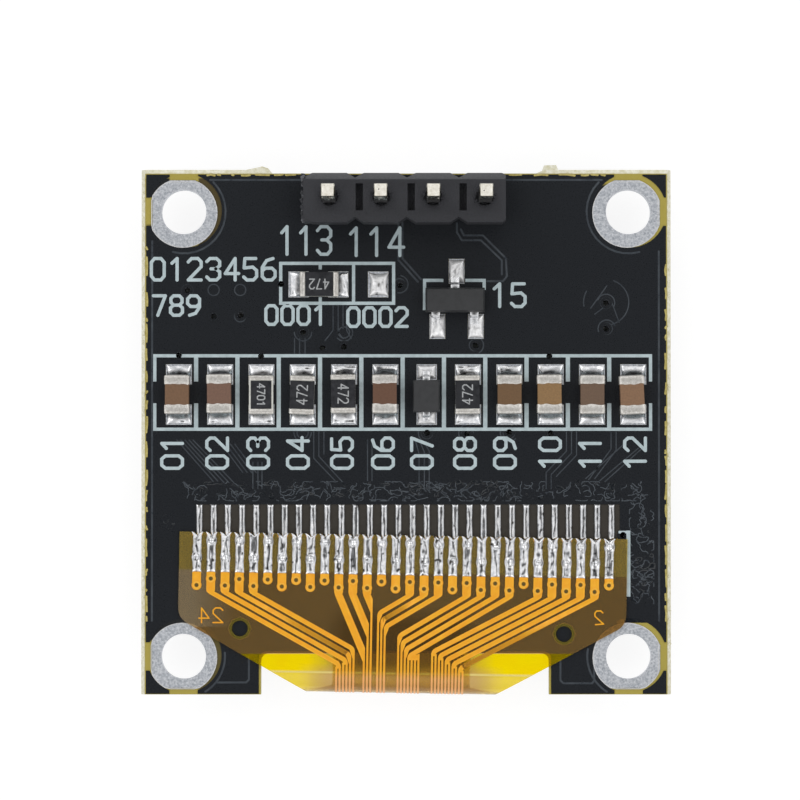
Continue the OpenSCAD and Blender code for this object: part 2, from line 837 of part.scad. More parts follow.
// The printed overcoat between a resistor's ends: R5's is a narrower one with a pale frame
module resistor_coat(name) {
    coat_l = chip_l - 2 * resistor_end - 0.04;
    frame = name == "r5" ? 0.12 : 0.03;
    color("#23252A") chip_place(name) translate([0, 0, chip_z + resistor_h - end_t]) difference() {
        box(chip_w - 2 * frame, coat_l, end_t);
        translate([0, 0, -1]) linear_extrude(3) end_zones(chip_l, chip_w, resistor_end + 0.02);
    }
}

// A lead that leaves a body at half height and lands on its foot, pointing to +Y
module gull_lead(w, start, tip, half_h) {
    knee = start + 0.3 + lead_t * 1.9;
    translate([-w / 2, 0, chip_z]) rotate([90, 0, 90]) linear_extrude(w) polygon([
        [start, half_h], [knee - lead_t * 0.8, half_h], [knee, lead_t], [tip, lead_t],
        [tip, 0], [knee - lead_t * 0.9, 0], [knee - lead_t * 1.7, half_h - lead_t],
        [start, half_h - lead_t]
    ]);
}

module diode_lead_pair() {
    soldered(DIODE) for (turn = [0, 180]) rotate(turn)
        gull_lead(diode_lead_w, diode_l / 2 - 0.3, diode_span / 2, diode_h / 2);
}

module diode_body() {
    color("#2B2C30") difference() {
        soldered(DIODE) translate([0, 0, chip_z + body_lift])
            drafted(diode_w, diode_l, diode_h - body_lift, 0.06);
        diode_lead_pair();
    }
}

module diode_leads() {
    color("#C9CCD0") diode_lead_pair();
}

module regulator_lead_set() {
    for (lead = REGULATOR_LEADS) translate([regulator_x + lead[0], regulator_y, 0])
        rotate(lead[1] > 0 ? 0 : 180)
            gull_lead(lead_w, regulator_w / 2 - 0.3, lead_span / 2, regulator_h / 2);
}

module regulator_body() {
    color("#2E3035") difference() {
        translate([regulator_x, regulator_y, chip_z + body_lift])
            drafted(regulator_l, regulator_w, regulator_h - body_lift, 0.09);
        regulator_lead_set();
    }
}

module regulator_leads() {
    color("#C9CCD0") regulator_lead_set();
}

// Solder on every chip land: a thin layer, with a fillet up each chip's end
module chip_solder() {
    color("#BDC1C8") {
        for (i = [0:len(ROW) - 1]) difference() {
            row_place(i) for (end = [-1, 1]) {
                translate([0, end * land_at, land_top_z])
                    box(row_land_w(i) - 0.06, land_l - 0.06, paste_t);
                rotate(end > 0 ? 0 : 180) row_fillet(i, end);
            }
            if (ROW[i][1] != "diode") soldered(i) translate([0, 0, chip_z])
                box(chip_w, chip_l, 2);
            else soldered(i) translate([0, 0, chip_z]) {
                box(diode_lead_w, diode_span, 2);
                box(diode_w, diode_l, 2);
            }
        }
        address_solder();
        difference() {
            at_regulator_lands() translate([0, 0, land_top_z])
                pebble(regulator_land_w - 0.06, regulator_land_l - 0.06, paste_t + lead_t, 0.06);
            for (lead = REGULATOR_LEADS) translate([regulator_x + lead[0], regulator_y, chip_z])
                box(lead_w, lead_span, 2);
        }
    }
}

module row_fillet(i, end) {
    kind = ROW[i][1];
    height = kind == "capacitor" ? capacitor_h * climb : resistor_h * climb;
    start = kind == "diode" ? diode_span / 2 : chip_l / 2;
    land_end = land_gap / 2 + land_l - 0.03;
    slip = end * ROW[i][3];
    if (kind == "diode")
        translate([0, land_at, chip_z]) box(diode_land_w - 0.1, land_l - 0.1, lead_t * 0.6);
    else
        translate([0, start + slip - 0.04, chip_z]) fillet(land_w - 0.1, land_end - start - slip + 0.04, height);
}

module address_solder() {
    reach = land_l / 2 + address_pitch / 2 - chip_l / 2 - 0.03;
    for (i = [-1:1]) translate([address_x + i * address_pitch, address_y, land_top_z])
        box(land_l - 0.06, land_w - 0.06, paste_t);
    difference() {
        for (turn = [0, 180]) translate([address_x - address_pitch / 2, address_y, 0])
            rotate(turn - 90) translate([0, chip_l / 2 - 0.05, chip_z])
                fillet(land_w - 0.1, reach + 0.05, resistor_h * climb);
        address_chip() translate([0, 0, chip_z]) box(chip_w, chip_l, 2);
    }
    // A mound on the unused land
    mound_r = 1.6;
    translate([address_x + address_pitch, address_y, chip_z]) intersection() {
        box(land_l - 0.06, land_w - 0.06, 1);
        translate([0, 0, 0.26 - mound_r]) sphere(mound_r, $fn = 96);
    }
}

// ---- flex ----------------------------------------------------------------------------------
// The flex is drawn straight, with x from its own middle line, and turned as soldered.

module as_soldered() {
    translate([flex_x, shoulder_y, 0]) rotate(flex_turn) translate([0, -shoulder_y, 0]) children();
}

function finger_x(i) = (i - (fingers + 1) / 2) * finger_pitch;

module at_fingers() {
    for (i = [1:fingers]) translate([finger_x(i), 0]) children();
}

module at_finger_vias() {
    for (i = [1:fingers]) translate([finger_x(i), i % 2 == 1 ? via_low : via_high]) children();
}

module film_outline() {
    centre = film_half - shoulder_r;
    side = [
        [film_half, flex_top], [film_half, shoulder_y],
        [centre + shoulder_r * sin(taper), shoulder_y - shoulder_r * cos(taper)],
        [neck_half, fold_y], [neck_half, fold_y - 1]
    ];
    polygon(concat(side, [for (i = [len(side) - 1:-1:0]) [-side[i][0], side[i][1]]]));
    for (x = [-centre, centre]) translate([x, shoulder_y]) circle(shoulder_r);
}

// A bent sheet round the fold's axis, from angle a over a quarter turn each step
module bent(r, t, x0, x1, from, sweep) {
    translate([0, bend_y, bend_z]) rotate([0, 90, 0]) rotate([0, 0, from])
        rotate_extrude(angle = sweep, $fn = 96) translate([r - t, x0]) square([t, x1 - x0]);
}

module flex_film() {
    color("#6B4E22") as_soldered() {
        translate([0, 0, film_z]) linear_extrude(film_t) difference() {
            intersection() {
                film_outline();
                span(-film_half - 1, flex_top, film_half + 1, bend_y);
            }
            at_finger_vias() circle(finger_via_r);
            at_fingers() translate([0, flex_top]) circle(finger_notch_r);
            for (x = [-align_x, align_x]) translate([x, align_y]) circle(align_d / 2);
        }
        intersection() {
            bent(film_r, film_t, -film_half, film_half, 180, 90);
            translate([0, 0, bend_z]) linear_extrude(copper_r + 1) film_outline();
        }
        intersection() {
            bent(film_r, film_t, -neck_half, neck_half, 270, 90);
            linear_extrude(bend_z) leg_outline();
        }
        translate([-leg_half, bend_y, ledge_z + copper_t]) cube([2 * leg_half, bond_end - bend_y, film_t]);
    }
}

// The film narrows to its lower leg just beyond the fold
module leg_outline() {
    narrowed = fold_y + 0.28;
    polygon([
        [-neck_half, fold_y - 1], [neck_half, fold_y - 1], [neck_half, fold_y], [leg_half, narrowed],
        [leg_half, bend_y + 1], [-leg_half, bend_y + 1], [-leg_half, narrowed], [-neck_half, fold_y]
    ]);
}

function line_x(n) = n * line_pitch;
function mean(list) = list * [for (n = list) 1] / len(list);
function run_w(lines) = (len(lines) - 1) * line_pitch + line_w;

module fold_lines(lines, y) {
    for (n = lines) span(line_x(n) - line_w / 2, y, line_x(n) + line_w / 2, bend_y);
}

// A trace that slants in from its finger and bends smoothly into its lines through the fold
module fanned_trace(x0, lines, slope) {
    x1 = line_x(mean(lines));
    side = sign(x1 - x0);
    wide = run_w(lines);
    outer_x = x1 + side * wide / 2;
    outer_r = trace_r + trace_w;
    mid_r = trace_r + trace_w / 2;
    turn = 90 - slope;
    cx = outer_x - side * outer_r;
    cy = trace_start - abs(cx + side * mid_r * cos(turn) - x0) * tan(slope) - mid_r * sin(turn);
    run = abs(cx + side * mid_r * cos(turn) - x0) / cos(slope);
    low = cy - (len(lines) > 1 ? 0.08 : 0.35);
    inner = [cx + side * trace_r * cos(turn), cy + trace_r * sin(turn)];
    outer = [cx + side * outer_r * cos(turn), cy + outer_r * sin(turn)];
    back = run * [-side * cos(slope), sin(slope)];
    polygon([inner, outer, outer + back, inner + back]);
    intersection() {
        translate([cx, cy]) difference() {
            circle(outer_r);
            circle(trace_r);
        }
        polygon([[cx, cy], [cx + side, cy], [cx + 2 * side * cos(turn), cy + 2 * sin(turn)]]);
    }
    polygon([
        [outer_x, cy + nudge], [outer_x, low], [outer_x - side * wide, low],
        [outer_x - side * max(wide, trace_w), cy + (wide > 2 * trace_w ? 0.25 : nudge)]
    ]);
    fold_lines(lines, low + nudge);
}

// A trace that runs steeply down and is cut off straight by its line
module steep_trace(x0, lines) {
    x1 = line_x(mean(lines));
    half = finger_w * 0.46;
    left = x1 - line_w / 2;
    right = x1 + line_w / 2;
    join_y = trace_start - (left - x0 + half) * tan(steep_slope);
    polygon([
        [x0 - half, trace_start], [x0 + half, trace_start],
        [right, trace_start - (right - x0 - half) * tan(steep_slope)], [right, join_y], [left, join_y]
    ]);
    fold_lines(lines, join_y + nudge);
}

module trace(finger, lines) {
    x0 = finger_x(finger);
    if (finger >= 11 && finger <= 13) steep_trace(x0, lines);
    else fanned_trace(x0, lines, finger >= 16 && finger <= 23 ? inner_slope : outer_slope);
}

function is_traced(i) = len([for (t = TRACES) if (t[0] == i) 1]) > 0;

// A finger with its flared and notched tip, its two plated rings and its rounded foot
module finger_outline(i) {
    x = finger_x(i);
    odd = i % 2 == 1;
    end = odd ? via_low : via_high;
    half = finger_w / 2;
    flare = finger_flare / 2;
    difference() {
        union() {
            span(x - half, flex_top - 0.1, x + half, end);
            polygon([
                [x - flare, flex_top - 0.02], [x + flare, flex_top - 0.02], [x + flare, flex_top - 0.1],
                [x + half, flex_top - 0.24], [x - half, flex_top - 0.24], [x - flare, flex_top - 0.1]
            ]);
            translate([x, odd ? bulge_low : bulge_high]) circle(finger_land_r);
            translate([x, end]) circle(finger_land_r);
            if (is_traced(i)) {
                span(x - half, end, x + half, trace_start + half - 0.08);
                translate([x, trace_start + half - 0.09]) circle(half);
            }
        }
        translate([x, end]) circle(finger_via_r);
        translate([x, flex_top]) circle(finger_notch_r);
    }
}

module flex_copper() {
    color("#E79A2B") as_soldered() {
        translate([0, 0, film_top_z]) linear_extrude(copper_t) {
            for (i = [1:fingers]) finger_outline(i);
            for (t = TRACES) trace(t[0], t[1]);
        }
        for (t = TRACES, n = t[1]) {
            x = line_x(n);
            bent(copper_r, copper_t, x - line_w / 2, x + line_w / 2, 180, 180);
            translate([x - line_w / 2, bend_y, ledge_z]) cube([line_w, bond_end - bend_y, copper_t]);
        }
    }
}

// Solder on the board lands and over the tinned ends of the fingers
module flex_solder() {
    over = film_top_z + copper_t;
    color("#C6C9CF") {
        translate([flex_land_x, 0, 0]) at_fingers() difference() {
            translate([0, 0, land_top_z])
                bead(flex_land_w, 0.12, flex_top - 0.4, flex_top + flex_land_show - 0.02);
            translate([-1, flex_top - 5, 0]) cube([2, 5.22, 6]);
        }
        as_soldered() {
            at_fingers() translate([0, 0, over]) bead(finger_w - 0.02, 0.09, tinned_end, flex_top - 0.17);
            for (i = [1:fingers])
                translate([finger_x(i), i % 2 == 1 ? bulge_low : bulge_high, over])
                    cylinder(r1 = finger_land_r - 0.01, r2 = finger_w / 2 - 0.03, h = 0.07);
        }
    }
}

// ---- display panel -------------------------------------------------------------------------

module front_glass() {
    color("#9FB0AE") translate([0, panel_y, front_z]) box(glass_w, glass_l, glass_t);
}

module rear_glass() {
    color("#9FB0AE") translate([0, rear_y, rear_z]) box(glass_w, rear_l, glass_t);
}

module glass_seal() {
    color("#C9C7B8") translate([0, rear_y, ledge_z]) linear_extrude(seal_t) difference() {
        square([glass_w - 0.3, rear_l - 0.3], center = true);
        square([glass_w - 0.3, rear_l - 0.3] - 2 * [seal_w, seal_w], center = true);
    }
}

module pixel_layers() {
    color("#5A5660") translate([0, rear_y, ledge_z]) box(lit_w, lit_l, pixel_t);
}

module polarizer() {
    color("#141518") translate([0, rear_y, 0])
        box(lit_w + 2 * polarizer_margin, lit_l + 2 * polarizer_margin, polarizer_t);
}

module driver_chip() {
    y = (bond_end + rear_y - rear_l / 2) / 2;
    color("#6E7278") translate([0, y, ledge_z]) box(driver_l, driver_w, driver_h);
}

module adhesive_pad() {
    color("#E6E4DA") translate([0, rear_y, tape_z])
        box(glass_w - 2 * tape_margin, rear_l - 2 * tape_margin, tape_t);
}

board_laminate();
solder_mask_back();
solder_mask_front();
legend_back();
board_lands();
flex_lands();
for (i = [1:4]) mounting_ring(i);
header_housing();
for (i = [1:pins]) header_pin(i);
header_solder();
for (c = CAPACITORS) capacitor_body(c);
for (c = CAPACITORS) capacitor_ends(c);
for (r = RESISTORS) resistor_body(r);
for (r = RESISTORS) resistor_coat(r);
for (r = RESISTORS) resistor_ends(r);
diode_body();
diode_leads();
regulator_body();
regulator_leads();
chip_solder();
flex_film();
flex_copper();
flex_solder();
front_glass();
rear_glass();
glass_seal();
pixel_layers();
polarizer();
driver_chip();
adhesive_pad();
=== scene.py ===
import math
import random

import bmesh
import bpy
from mathutils import Matrix, Vector, noise


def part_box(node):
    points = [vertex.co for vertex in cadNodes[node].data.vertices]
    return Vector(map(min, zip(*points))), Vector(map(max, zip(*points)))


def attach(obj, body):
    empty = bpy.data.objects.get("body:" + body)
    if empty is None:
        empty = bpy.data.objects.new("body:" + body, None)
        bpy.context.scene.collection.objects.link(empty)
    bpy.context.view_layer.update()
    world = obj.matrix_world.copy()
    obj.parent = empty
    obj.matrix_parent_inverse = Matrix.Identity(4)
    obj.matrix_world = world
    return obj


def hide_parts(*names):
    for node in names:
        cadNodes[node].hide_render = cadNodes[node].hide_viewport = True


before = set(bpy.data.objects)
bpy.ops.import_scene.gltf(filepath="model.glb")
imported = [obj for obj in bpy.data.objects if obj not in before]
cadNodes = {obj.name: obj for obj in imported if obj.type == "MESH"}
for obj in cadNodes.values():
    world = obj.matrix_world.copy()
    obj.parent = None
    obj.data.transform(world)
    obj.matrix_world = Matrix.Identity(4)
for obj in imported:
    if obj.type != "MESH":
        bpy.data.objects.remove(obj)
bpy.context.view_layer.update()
mm = 0.001


# Small helpers for shaders
def hexColour(code):
    values = [int(code[i:i + 2], 16) / 255 for i in (1, 3, 5)]
    return tuple(v / 12.92 if v <= 0.04045 else ((v + 0.055) / 1.055) ** 2.4 for v in values)


def addNode(tree, kind, inputs=None, **settings):
    node = tree.nodes.new(kind)
    for name, value in settings.items():
        setattr(node, name, value)
    for name, value in (inputs or {}).items():
        node.inputs[name].default_value = value
    return node


def makeGroup(name, inputs, outputs):
    group = bpy.data.node_groups.new(name, "ShaderNodeTree")
    for label, value in inputs.items():
        kind = "NodeSocketColor" if isinstance(value, tuple) else "NodeSocketFloat"
        socket = group.interface.new_socket(label, in_out="INPUT", socket_type=kind)
        socket.default_value = value
    for label in outputs:
        kind = "NodeSocketColor" if label == "Color" else "NodeSocketFloat"
        group.interface.new_socket(label, in_out="OUTPUT", socket_type=kind)
    start = group.nodes.new("NodeGroupInput")
    end = group.nodes.new("NodeGroupOutput")
    return group, start, end


# Two colours that run into each other in patches of the given size
def makeBlotches():
    white, grey = (1, 1, 1, 1), (0.5, 0.5, 0.5, 1)
    group, start, end = makeGroup(
        "blotches", {"Scale": 1000.0, "Spread": 0.2, "First": white, "Second": grey}, ["Color", "Mask"])
    links = group.links
    place = addNode(group, "ShaderNodeTexCoord")
    cloud = addNode(group, "ShaderNodeTexNoise", {"Detail": 3.0, "Roughness": 0.55})
    low = addNode(group, "ShaderNodeMath", {0: 0.5}, operation="SUBTRACT")
    high = addNode(group, "ShaderNodeMath", {0: 0.5}, operation="ADD")
    ramp = addNode(group, "ShaderNodeMapRange")
    mix = addNode(group, "ShaderNodeMix", data_type="RGBA")
    links.new(place.outputs["Object"], cloud.inputs["Vector"])
    links.new(start.outputs["Scale"], cloud.inputs["Scale"])
    links.new(start.outputs["Spread"], low.inputs[1])
    links.new(start.outputs["Spread"], high.inputs[1])
    links.new(cloud.outputs["Fac"], ramp.inputs["Value"])
    links.new(low.outputs[0], ramp.inputs["From Min"])
    links.new(high.outputs[0], ramp.inputs["From Max"])
    links.new(ramp.outputs["Result"], mix.inputs["Factor"])
    links.new(start.outputs["First"], mix.inputs["A"])
    links.new(start.outputs["Second"], mix.inputs["B"])
    links.new(mix.outputs["Result"], end.inputs["Color"])
    links.new(ramp.outputs["Result"], end.inputs["Mask"])
    return group


# Fine grains for bumps
def makeGrain():
    group, start, end = makeGroup("grain", {"Scale": 10000.0}, ["Height"])
    place = addNode(group, "ShaderNodeTexCoord")
    cloud = addNode(group, "ShaderNodeTexNoise", {"Detail": 2.0, "Roughness": 0.6})
    group.links.new(place.outputs["Object"], cloud.inputs["Vector"])
    group.links.new(start.outputs["Scale"], cloud.inputs["Scale"])
    group.links.new(cloud.outputs["Fac"], end.inputs["Height"])
    return group


blotchesGroup = makeBlotches()
grainGroup = makeGrain()


def placeGroup(tree, group, **values):
    node = tree.nodes.new("ShaderNodeGroup")
    node.node_tree = group
    for name, value in values.items():
        node.inputs[name].default_value = value
    return node


# A material whose colour is patchy, whose roughness follows the patches and whose face is grained.
# patch, grain and relief are in millimetres
def newMaterial(name, first, second, patch=0.5, spread=0.2, rough=(0.4, 0.6), metallic=0.0,
                grain=0.1, relief=0.002, specular=0.5, clear=0.0, ior=1.5):
    material = bpy.data.materials.new(name)
    material.use_nodes = True
    tree = material.node_tree
    shader = tree.nodes["Principled BSDF"]
    shader.inputs["Metallic"].default_value = metallic
    shader.inputs["Specular IOR Level"].default_value = specular
    shader.inputs["Transmission Weight"].default_value = clear
    shader.inputs["IOR"].default_value = ior
    patches = placeGroup(tree, blotchesGroup, Scale=1 / (patch * mm), Spread=spread,
                         First=(*hexColour(first), 1), Second=(*hexColour(second), 1))
    gloss = addNode(tree, "ShaderNodeMapRange", {"To Min": rough[0], "To Max": rough[1]})
    tree.links.new(patches.outputs["Color"], shader.inputs["Base Color"])
    tree.links.new(patches.outputs["Mask"], gloss.inputs["Value"])
    tree.links.new(gloss.outputs["Result"], shader.inputs["Roughness"])
    if relief:
        grains = placeGroup(tree, grainGroup, Scale=1 / (grain * mm))
        bump = addNode(tree, "ShaderNodeBump", {"Strength": 1.0, "Distance": relief * mm})
        tree.links.new(grains.outputs["Height"], bump.inputs["Height"])
        tree.links.new(bump.outputs["Normal"], shader.inputs["Normal"])
    return material


def calc(tree, operation, *values):
    node = addNode(tree, "ShaderNodeMath", operation=operation)
    for i, value in enumerate(values):
        if isinstance(value, (int, float)):
            node.inputs[i].default_value = value
        else:
            tree.links.new(value, node.inputs[i])
    return node.outputs[0]


# Where the flex lies on the board, its turn in degrees, and its two alignment holes
flexPlace = {"x": -0.19, "shoulder": -8.75, "turn": -1.0, "holeX": 7.98, "holeY": -9.72}


# Places on the object in millimetres; the flex has its own, turned as it is soldered
def placeAxes(tree):
    place = addNode(tree, "ShaderNodeTexCoord")
    split = addNode(tree, "ShaderNodeSeparateXYZ")
    tree.links.new(place.outputs["Object"], split.inputs[0])
    x, y, z = (calc(tree, "DIVIDE", split.outputs[axis], mm) for axis in ("X", "Y", "Z"))
    turn = math.radians(flexPlace["turn"])
    dx = calc(tree, "SUBTRACT", x, flexPlace["x"])
    dy = calc(tree, "SUBTRACT", y, flexPlace["shoulder"])
    flexX = calc(tree, "MULTIPLY_ADD", dx, math.cos(turn), calc(tree, "MULTIPLY", dy, math.sin(turn)))
    along = calc(tree, "MULTIPLY_ADD", dy, math.cos(turn), flexPlace["shoulder"])
    flexY = calc(tree, "MULTIPLY_ADD", dx, -math.sin(turn), along)
    side = calc(tree, "ABSOLUTE", x)
    flexSide = calc(tree, "ABSOLUTE", flexX)
    holeX = calc(tree, "SUBTRACT", flexSide, flexPlace["holeX"])
    holeY = calc(tree, "SUBTRACT", flexY, flexPlace["holeY"])
    square = calc(tree, "ADD", calc(tree, "MULTIPLY", holeX, holeX), calc(tree, "MULTIPLY", holeY, holeY))
    hole = calc(tree, "SQRT", square)
    return {"x": x, "y": y, "z": z, "side": side, "flexX": flexX, "flexY": flexY,
            "flexSide": flexSide, "hole": hole}


# Lays a further colour over a material, between the given limits in millimetres; a limit may
# have its own fade
def paintZones(material, zones):
    tree = material.node_tree
    base = tree.nodes["Principled BSDF"].inputs["Base Color"]
    axes = placeAxes(tree)
    for code, fade, limits in zones:
        mask = 1.0
        for axis, (low, high, *own) in limits.items():
            soft = own[0] if own else fade
            rise = addNode(tree, "ShaderNodeMapRange", {"From Min": low - soft, "From Max": low + soft})
            fall = addNode(tree, "ShaderNodeMapRange", {"From Min": high + soft, "From Max": high - soft})
            tree.links.new(axes[axis], rise.inputs["Value"])
            tree.links.new(axes[axis], fall.inputs["Value"])
            mask = calc(tree, "MULTIPLY", mask, calc(tree, "MULTIPLY", rise.outputs[0], fall.outputs[0]))
        mix = addNode(tree, "ShaderNodeMix", {"B": (*hexColour(code), 1)}, data_type="RGBA")
        tree.links.new(mask, mix.inputs["Factor"])
        tree.links.new(base.links[0].from_socket, mix.inputs["A"])
        tree.links.new(mix.outputs["Result"], base)


# Materials of the board and its parts
finishes = {
    "laminate": dict(first="#F2F0E0", second="#D8D3B4", patch=0.2, spread=0.18, rough=(0.55, 0.75),
                     grain=0.05, relief=0.015, specular=0.3),
    "mask": dict(first="#0D1014", second="#1C2026", patch=0.045, spread=0.3, rough=(0.24, 0.36),
                 grain=0.08, relief=0.0012),
    "legend": dict(first="#BCCBCF", second="#A9B8BC", patch=0.3, rough=(0.5, 0.7), grain=0.06,
                   relief=0.004),
    "tin": dict(first="#F4F6FA", second="#8A919B", patch=0.1, spread=0.3, rough=(0.38, 0.55),
                metallic=0.85, grain=0.05, relief=0.01),
    "solder": dict(first="#FCFCFD", second="#D4D6DA", patch=0.2, rough=(0.14, 0.26), metallic=0.95,
                   grain=0.2, relief=0.004),
    # a lighter, less metallic copy of solder, which paints bright highlights onto the blobs and the rims of
    # the rings
    "litSolder": dict(first="#FFFFFF", second="#E6E6E8", patch=0.2, rough=(0.16, 0.28), metallic=0.3,
                         grain=0.2, relief=0.004),
    "headerPlastic": dict(first="#202126", second="#2F3036", patch=0.1, spread=0.25, rough=(0.5, 0.7),
                          grain=0.05, relief=0.03),
    "pin": dict(first="#B4B0A4", second="#9A968B", patch=0.3, rough=(0.1, 0.2), metallic=1.0,
                grain=0.1, relief=0.001),
    "pinCut": dict(first="#FFFCF2", second="#E2DDD0", patch=0.15, rough=(0.5, 0.65), metallic=0.5,
                   grain=0.08, relief=0.006),
    "alumina": dict(first="#D8D8D2", second="#C6C6BE", patch=0.1, rough=(0.5, 0.7), grain=0.04,
                    relief=0.003),
    "chipEnd": dict(first="#F2EFEA", second="#BDB9B2", patch=0.12, spread=0.25, rough=(0.3, 0.5),
                    metallic=0.85, grain=0.05, relief=0.008),
    "overcoat": dict(first="#1B1C20", second="#26272C", patch=0.2, rough=(0.3, 0.5), grain=0.05,
                     relief=0.003),
    "mould": dict(first="#27282A", second="#333436", patch=0.25, rough=(0.5, 0.7), grain=0.05,
                  relief=0.008),
    "copper": dict(first="#FFB92C", second="#F6A51B", patch=0.4, rough=(0.3, 0.45), metallic=0.2,
                   grain=0.1, relief=0.003),
    "viaRing": dict(first="#FFCB58", second="#FFBE40", patch=0.2, rough=(0.25, 0.4), metallic=0.2,
                    grain=0.1, relief=0.003),
    "filmEdge": dict(first="#94804C", second="#7C6A3C", patch=0.2, rough=(0.3, 0.5), grain=0.05),
    "viaFill": dict(first="#6A571C", second="#4E3F14", patch=0.1, rough=(0.3, 0.5), grain=0.05),
    "residue": dict(first="#14171B", second="#22262B", patch=0.2, rough=(0.1, 0.2), grain=0.06,
                    relief=0.004, specular=0.7),
    "tornPlastic": dict(first="#4A4B50", second="#6E6F74", patch=0.08, rough=(0.5, 0.7), grain=0.04,
                        relief=0.01),
    "seal": dict(first="#C9C7B8", second="#B5B3A4", patch=0.4, grain=0.05),
    "pixels": dict(first="#2A2A33", second="#353540", patch=0.8, rough=(0.2, 0.3), grain=0.05),
    "polarizer": dict(first="#0C0D10", second="#121318", patch=5.0, rough=(0.08, 0.12), grain=0.3,
                      relief=0.0006),
    "silicon": dict(first="#5C6066", second="#6E7278", patch=0.8, rough=(0.12, 0.2), metallic=0.4,
                    grain=0.1, relief=0.0005),
    "adhesive": dict(first="#E6E4DA", second="#D8D5C8", patch=1.0, rough=(0.6, 0.8), grain=0.08,
                     relief=0.006),
    # pale grey lines that paint highlights on the residue's ridges
    "wave": dict(first="#3F444A", second="#53595F", patch=0.3, rough=(0.2, 0.35), grain=0.1,
                 relief=0.002),
    "bareEdge": dict(first="#C4B670", second="#A09148", patch=0.15, rough=(0.5, 0.7), grain=0.05,
                     relief=0.004),
    "maskEdge": dict(first="#363B41", second="#40464C", patch=0.5, rough=(0.25, 0.4), grain=0.1,
                     relief=0.002),
    "chipMark": dict(first="#B9BBBC", second="#8F9294", patch=0.12, rough=(0.5, 0.7), grain=0.04),
    "film": dict(first="#FFE800", second="#FFDE00", patch=1.2, spread=0.3, rough=(0.08, 0.16), grain=0.15,
                 clear=0.86, ior=1.45),
    "glass": dict(first="#E8F2EF", second="#DDEBE7", patch=6.0, spread=0.3, rough=(0.02, 0.05), relief=0,
                  clear=1.0),
}
capacitorColours = {"c6": "#7C5C42", "c5": "#7C5D4C", "c9": "#6B4A36", "c2": "#735536", "c1": "#94734A",
                    "c4": "#705845", "c3": "#8C6A4E"}
patchShade = 0.86
for chipName, code in capacitorColours.items():
    darker = "#" + "".join(f"{int(int(code[i:i + 2], 16) * patchShade):02X}" for i in (1, 3, 5))
    finishes["ceramic" + chipName.upper()] = dict(first=code, second=darker, patch=0.1, spread=0.3,
                                                  rough=(0.4, 0.6), grain=0.04, relief=0.003)
materials = {name: newMaterial(name, **settings) for name, settings in finishes.items()}

backFace = (2.6, 3)  # heights that hold only the board's back face
overBoard = (2, 3)   # and the film that lies on it
paintZones(materials["laminate"], [
    ("#A99A48", 0.02, {"side": (-1, 12.88), "y": (-14, 12.84), "z": backFace}),  # bare board
    ("#4A3F20", 0.04, {"x": (-10.24, -8.7), "y": (8.8, 12.62), "z": backFace}),  # beside ring 1
    ("#1A1C1E", 0.04, {"x": (-12.82, -11.66), "y": (11.66, 12.62), "z": backFace}),
    ("#5A5028", 0.08, {"x": (-10.24, -8.7), "y": (-12.6, -8.8), "z": backFace}),  # beside ring 3
    ("#1A1C1E", 0.08, {"x": (-12.82, -10.0), "y": (-10.2, -8.9), "z": backFace}),
    ("#1A1C1E", 0.08, {"x": (-12.82, -10.6), "y": (9.0, 10.3), "z": backFace}),
    ("#1A1C1E", 0.08, {"x": (8.8, 10.6), "y": (8.9, 12.3), "z": backFace}),
    ("#1A1C1E", 0.08, {"x": (8.8, 10.4), "y": (-12.3, -8.8), "z": backFace}),
    ("#36322C", 0.05, {"side": (-1, 10.9), "y": (-7.2, -3.3), "z": backFace}),  # round the lands of the flex
])
paintZones(materials["film"], [
    ("#D6B170", 0.02, {"y": (-10.82, 0), "z": overBoard}),
    ("#F4DDB4", 1.0, {"flexX": (-14, -9.3)}),  # paler to the left
    ("#F2D87C", 0.03, {"flexY": (-6.86, 0), "z": overBoard}),  # bare finger end
    ("#F4DA3C", 0.05, {"flexY": (-14, -11.77), "z": (1.2, 3)}),  # over the fold
    ("#A88448", 0.3, {"flexSide": (-1, 3.8, 0.8), "flexY": (-14, -10.2), "z": (1.2, 3)}),  # coverlay
    ("#D6B170", 0.02, {"y": (-10.82, -9.5), "z": overBoard}),
    ("#B48E50", 0.5, {"flexSide": (-1, 3.3), "flexY": (-11.6, -8.9), "z": (1.2, 4)}),
    ("#D0AC68", 0.25, {"flexSide": (-1, 4.2, 0.9), "flexY": (-14, -11.6), "z": (1.2, 4)}),
    # Painted highlight: a thin pale line across the film where it starts to bend over the fold
    ("#F2E090", 0.04, {"flexY": (-11.84, -11.76), "flexSide": (-1, 9), "z": overBoard}),
    ("#D8C45A", 0.03, {"hole": (-1, 0.52), "z": overBoard}),  # rims of the alignment holes
    ("#2E200C", 0.5, {"flexSide": (-1, 2.6), "flexY": (-11.9, 0), "z": (-1, 1)}),  # lower leg
])
paintZones(materials["copper"], [("#F2AE68", 0.2, {"flexY": (-14, -11.9)})])
# Painted shade: the pins are darker from the board to just above the plastic, where the housing shades them
paintZones(materials["pin"], [("#4A4742", 0.3, {"z": (2.6, 5.9)})])


# Darkens a metal where the piece's own shade is high: this paints shade and dark reflections into its colour
def shadeMetal(material, code):
    tree = material.node_tree
    base = tree.nodes["Principled BSDF"].inputs["Base Color"]
    shade = addNode(tree, "ShaderNodeAttribute", attribute_name="shade")
    mix = addNode(tree, "ShaderNodeMix", {"B": (*hexColour(code), 1)}, data_type="RGBA")
    tree.links.new(shade.outputs["Fac"], mix.inputs["Factor"])
    tree.links.new(base.links[0].from_socket, mix.inputs["A"])
    tree.links.new(mix.outputs["Result"], base)


for metal in ("solder", "litSolder"):
    shadeMetal(materials[metal], "#2B2620")
print("materials made:", len(materials))


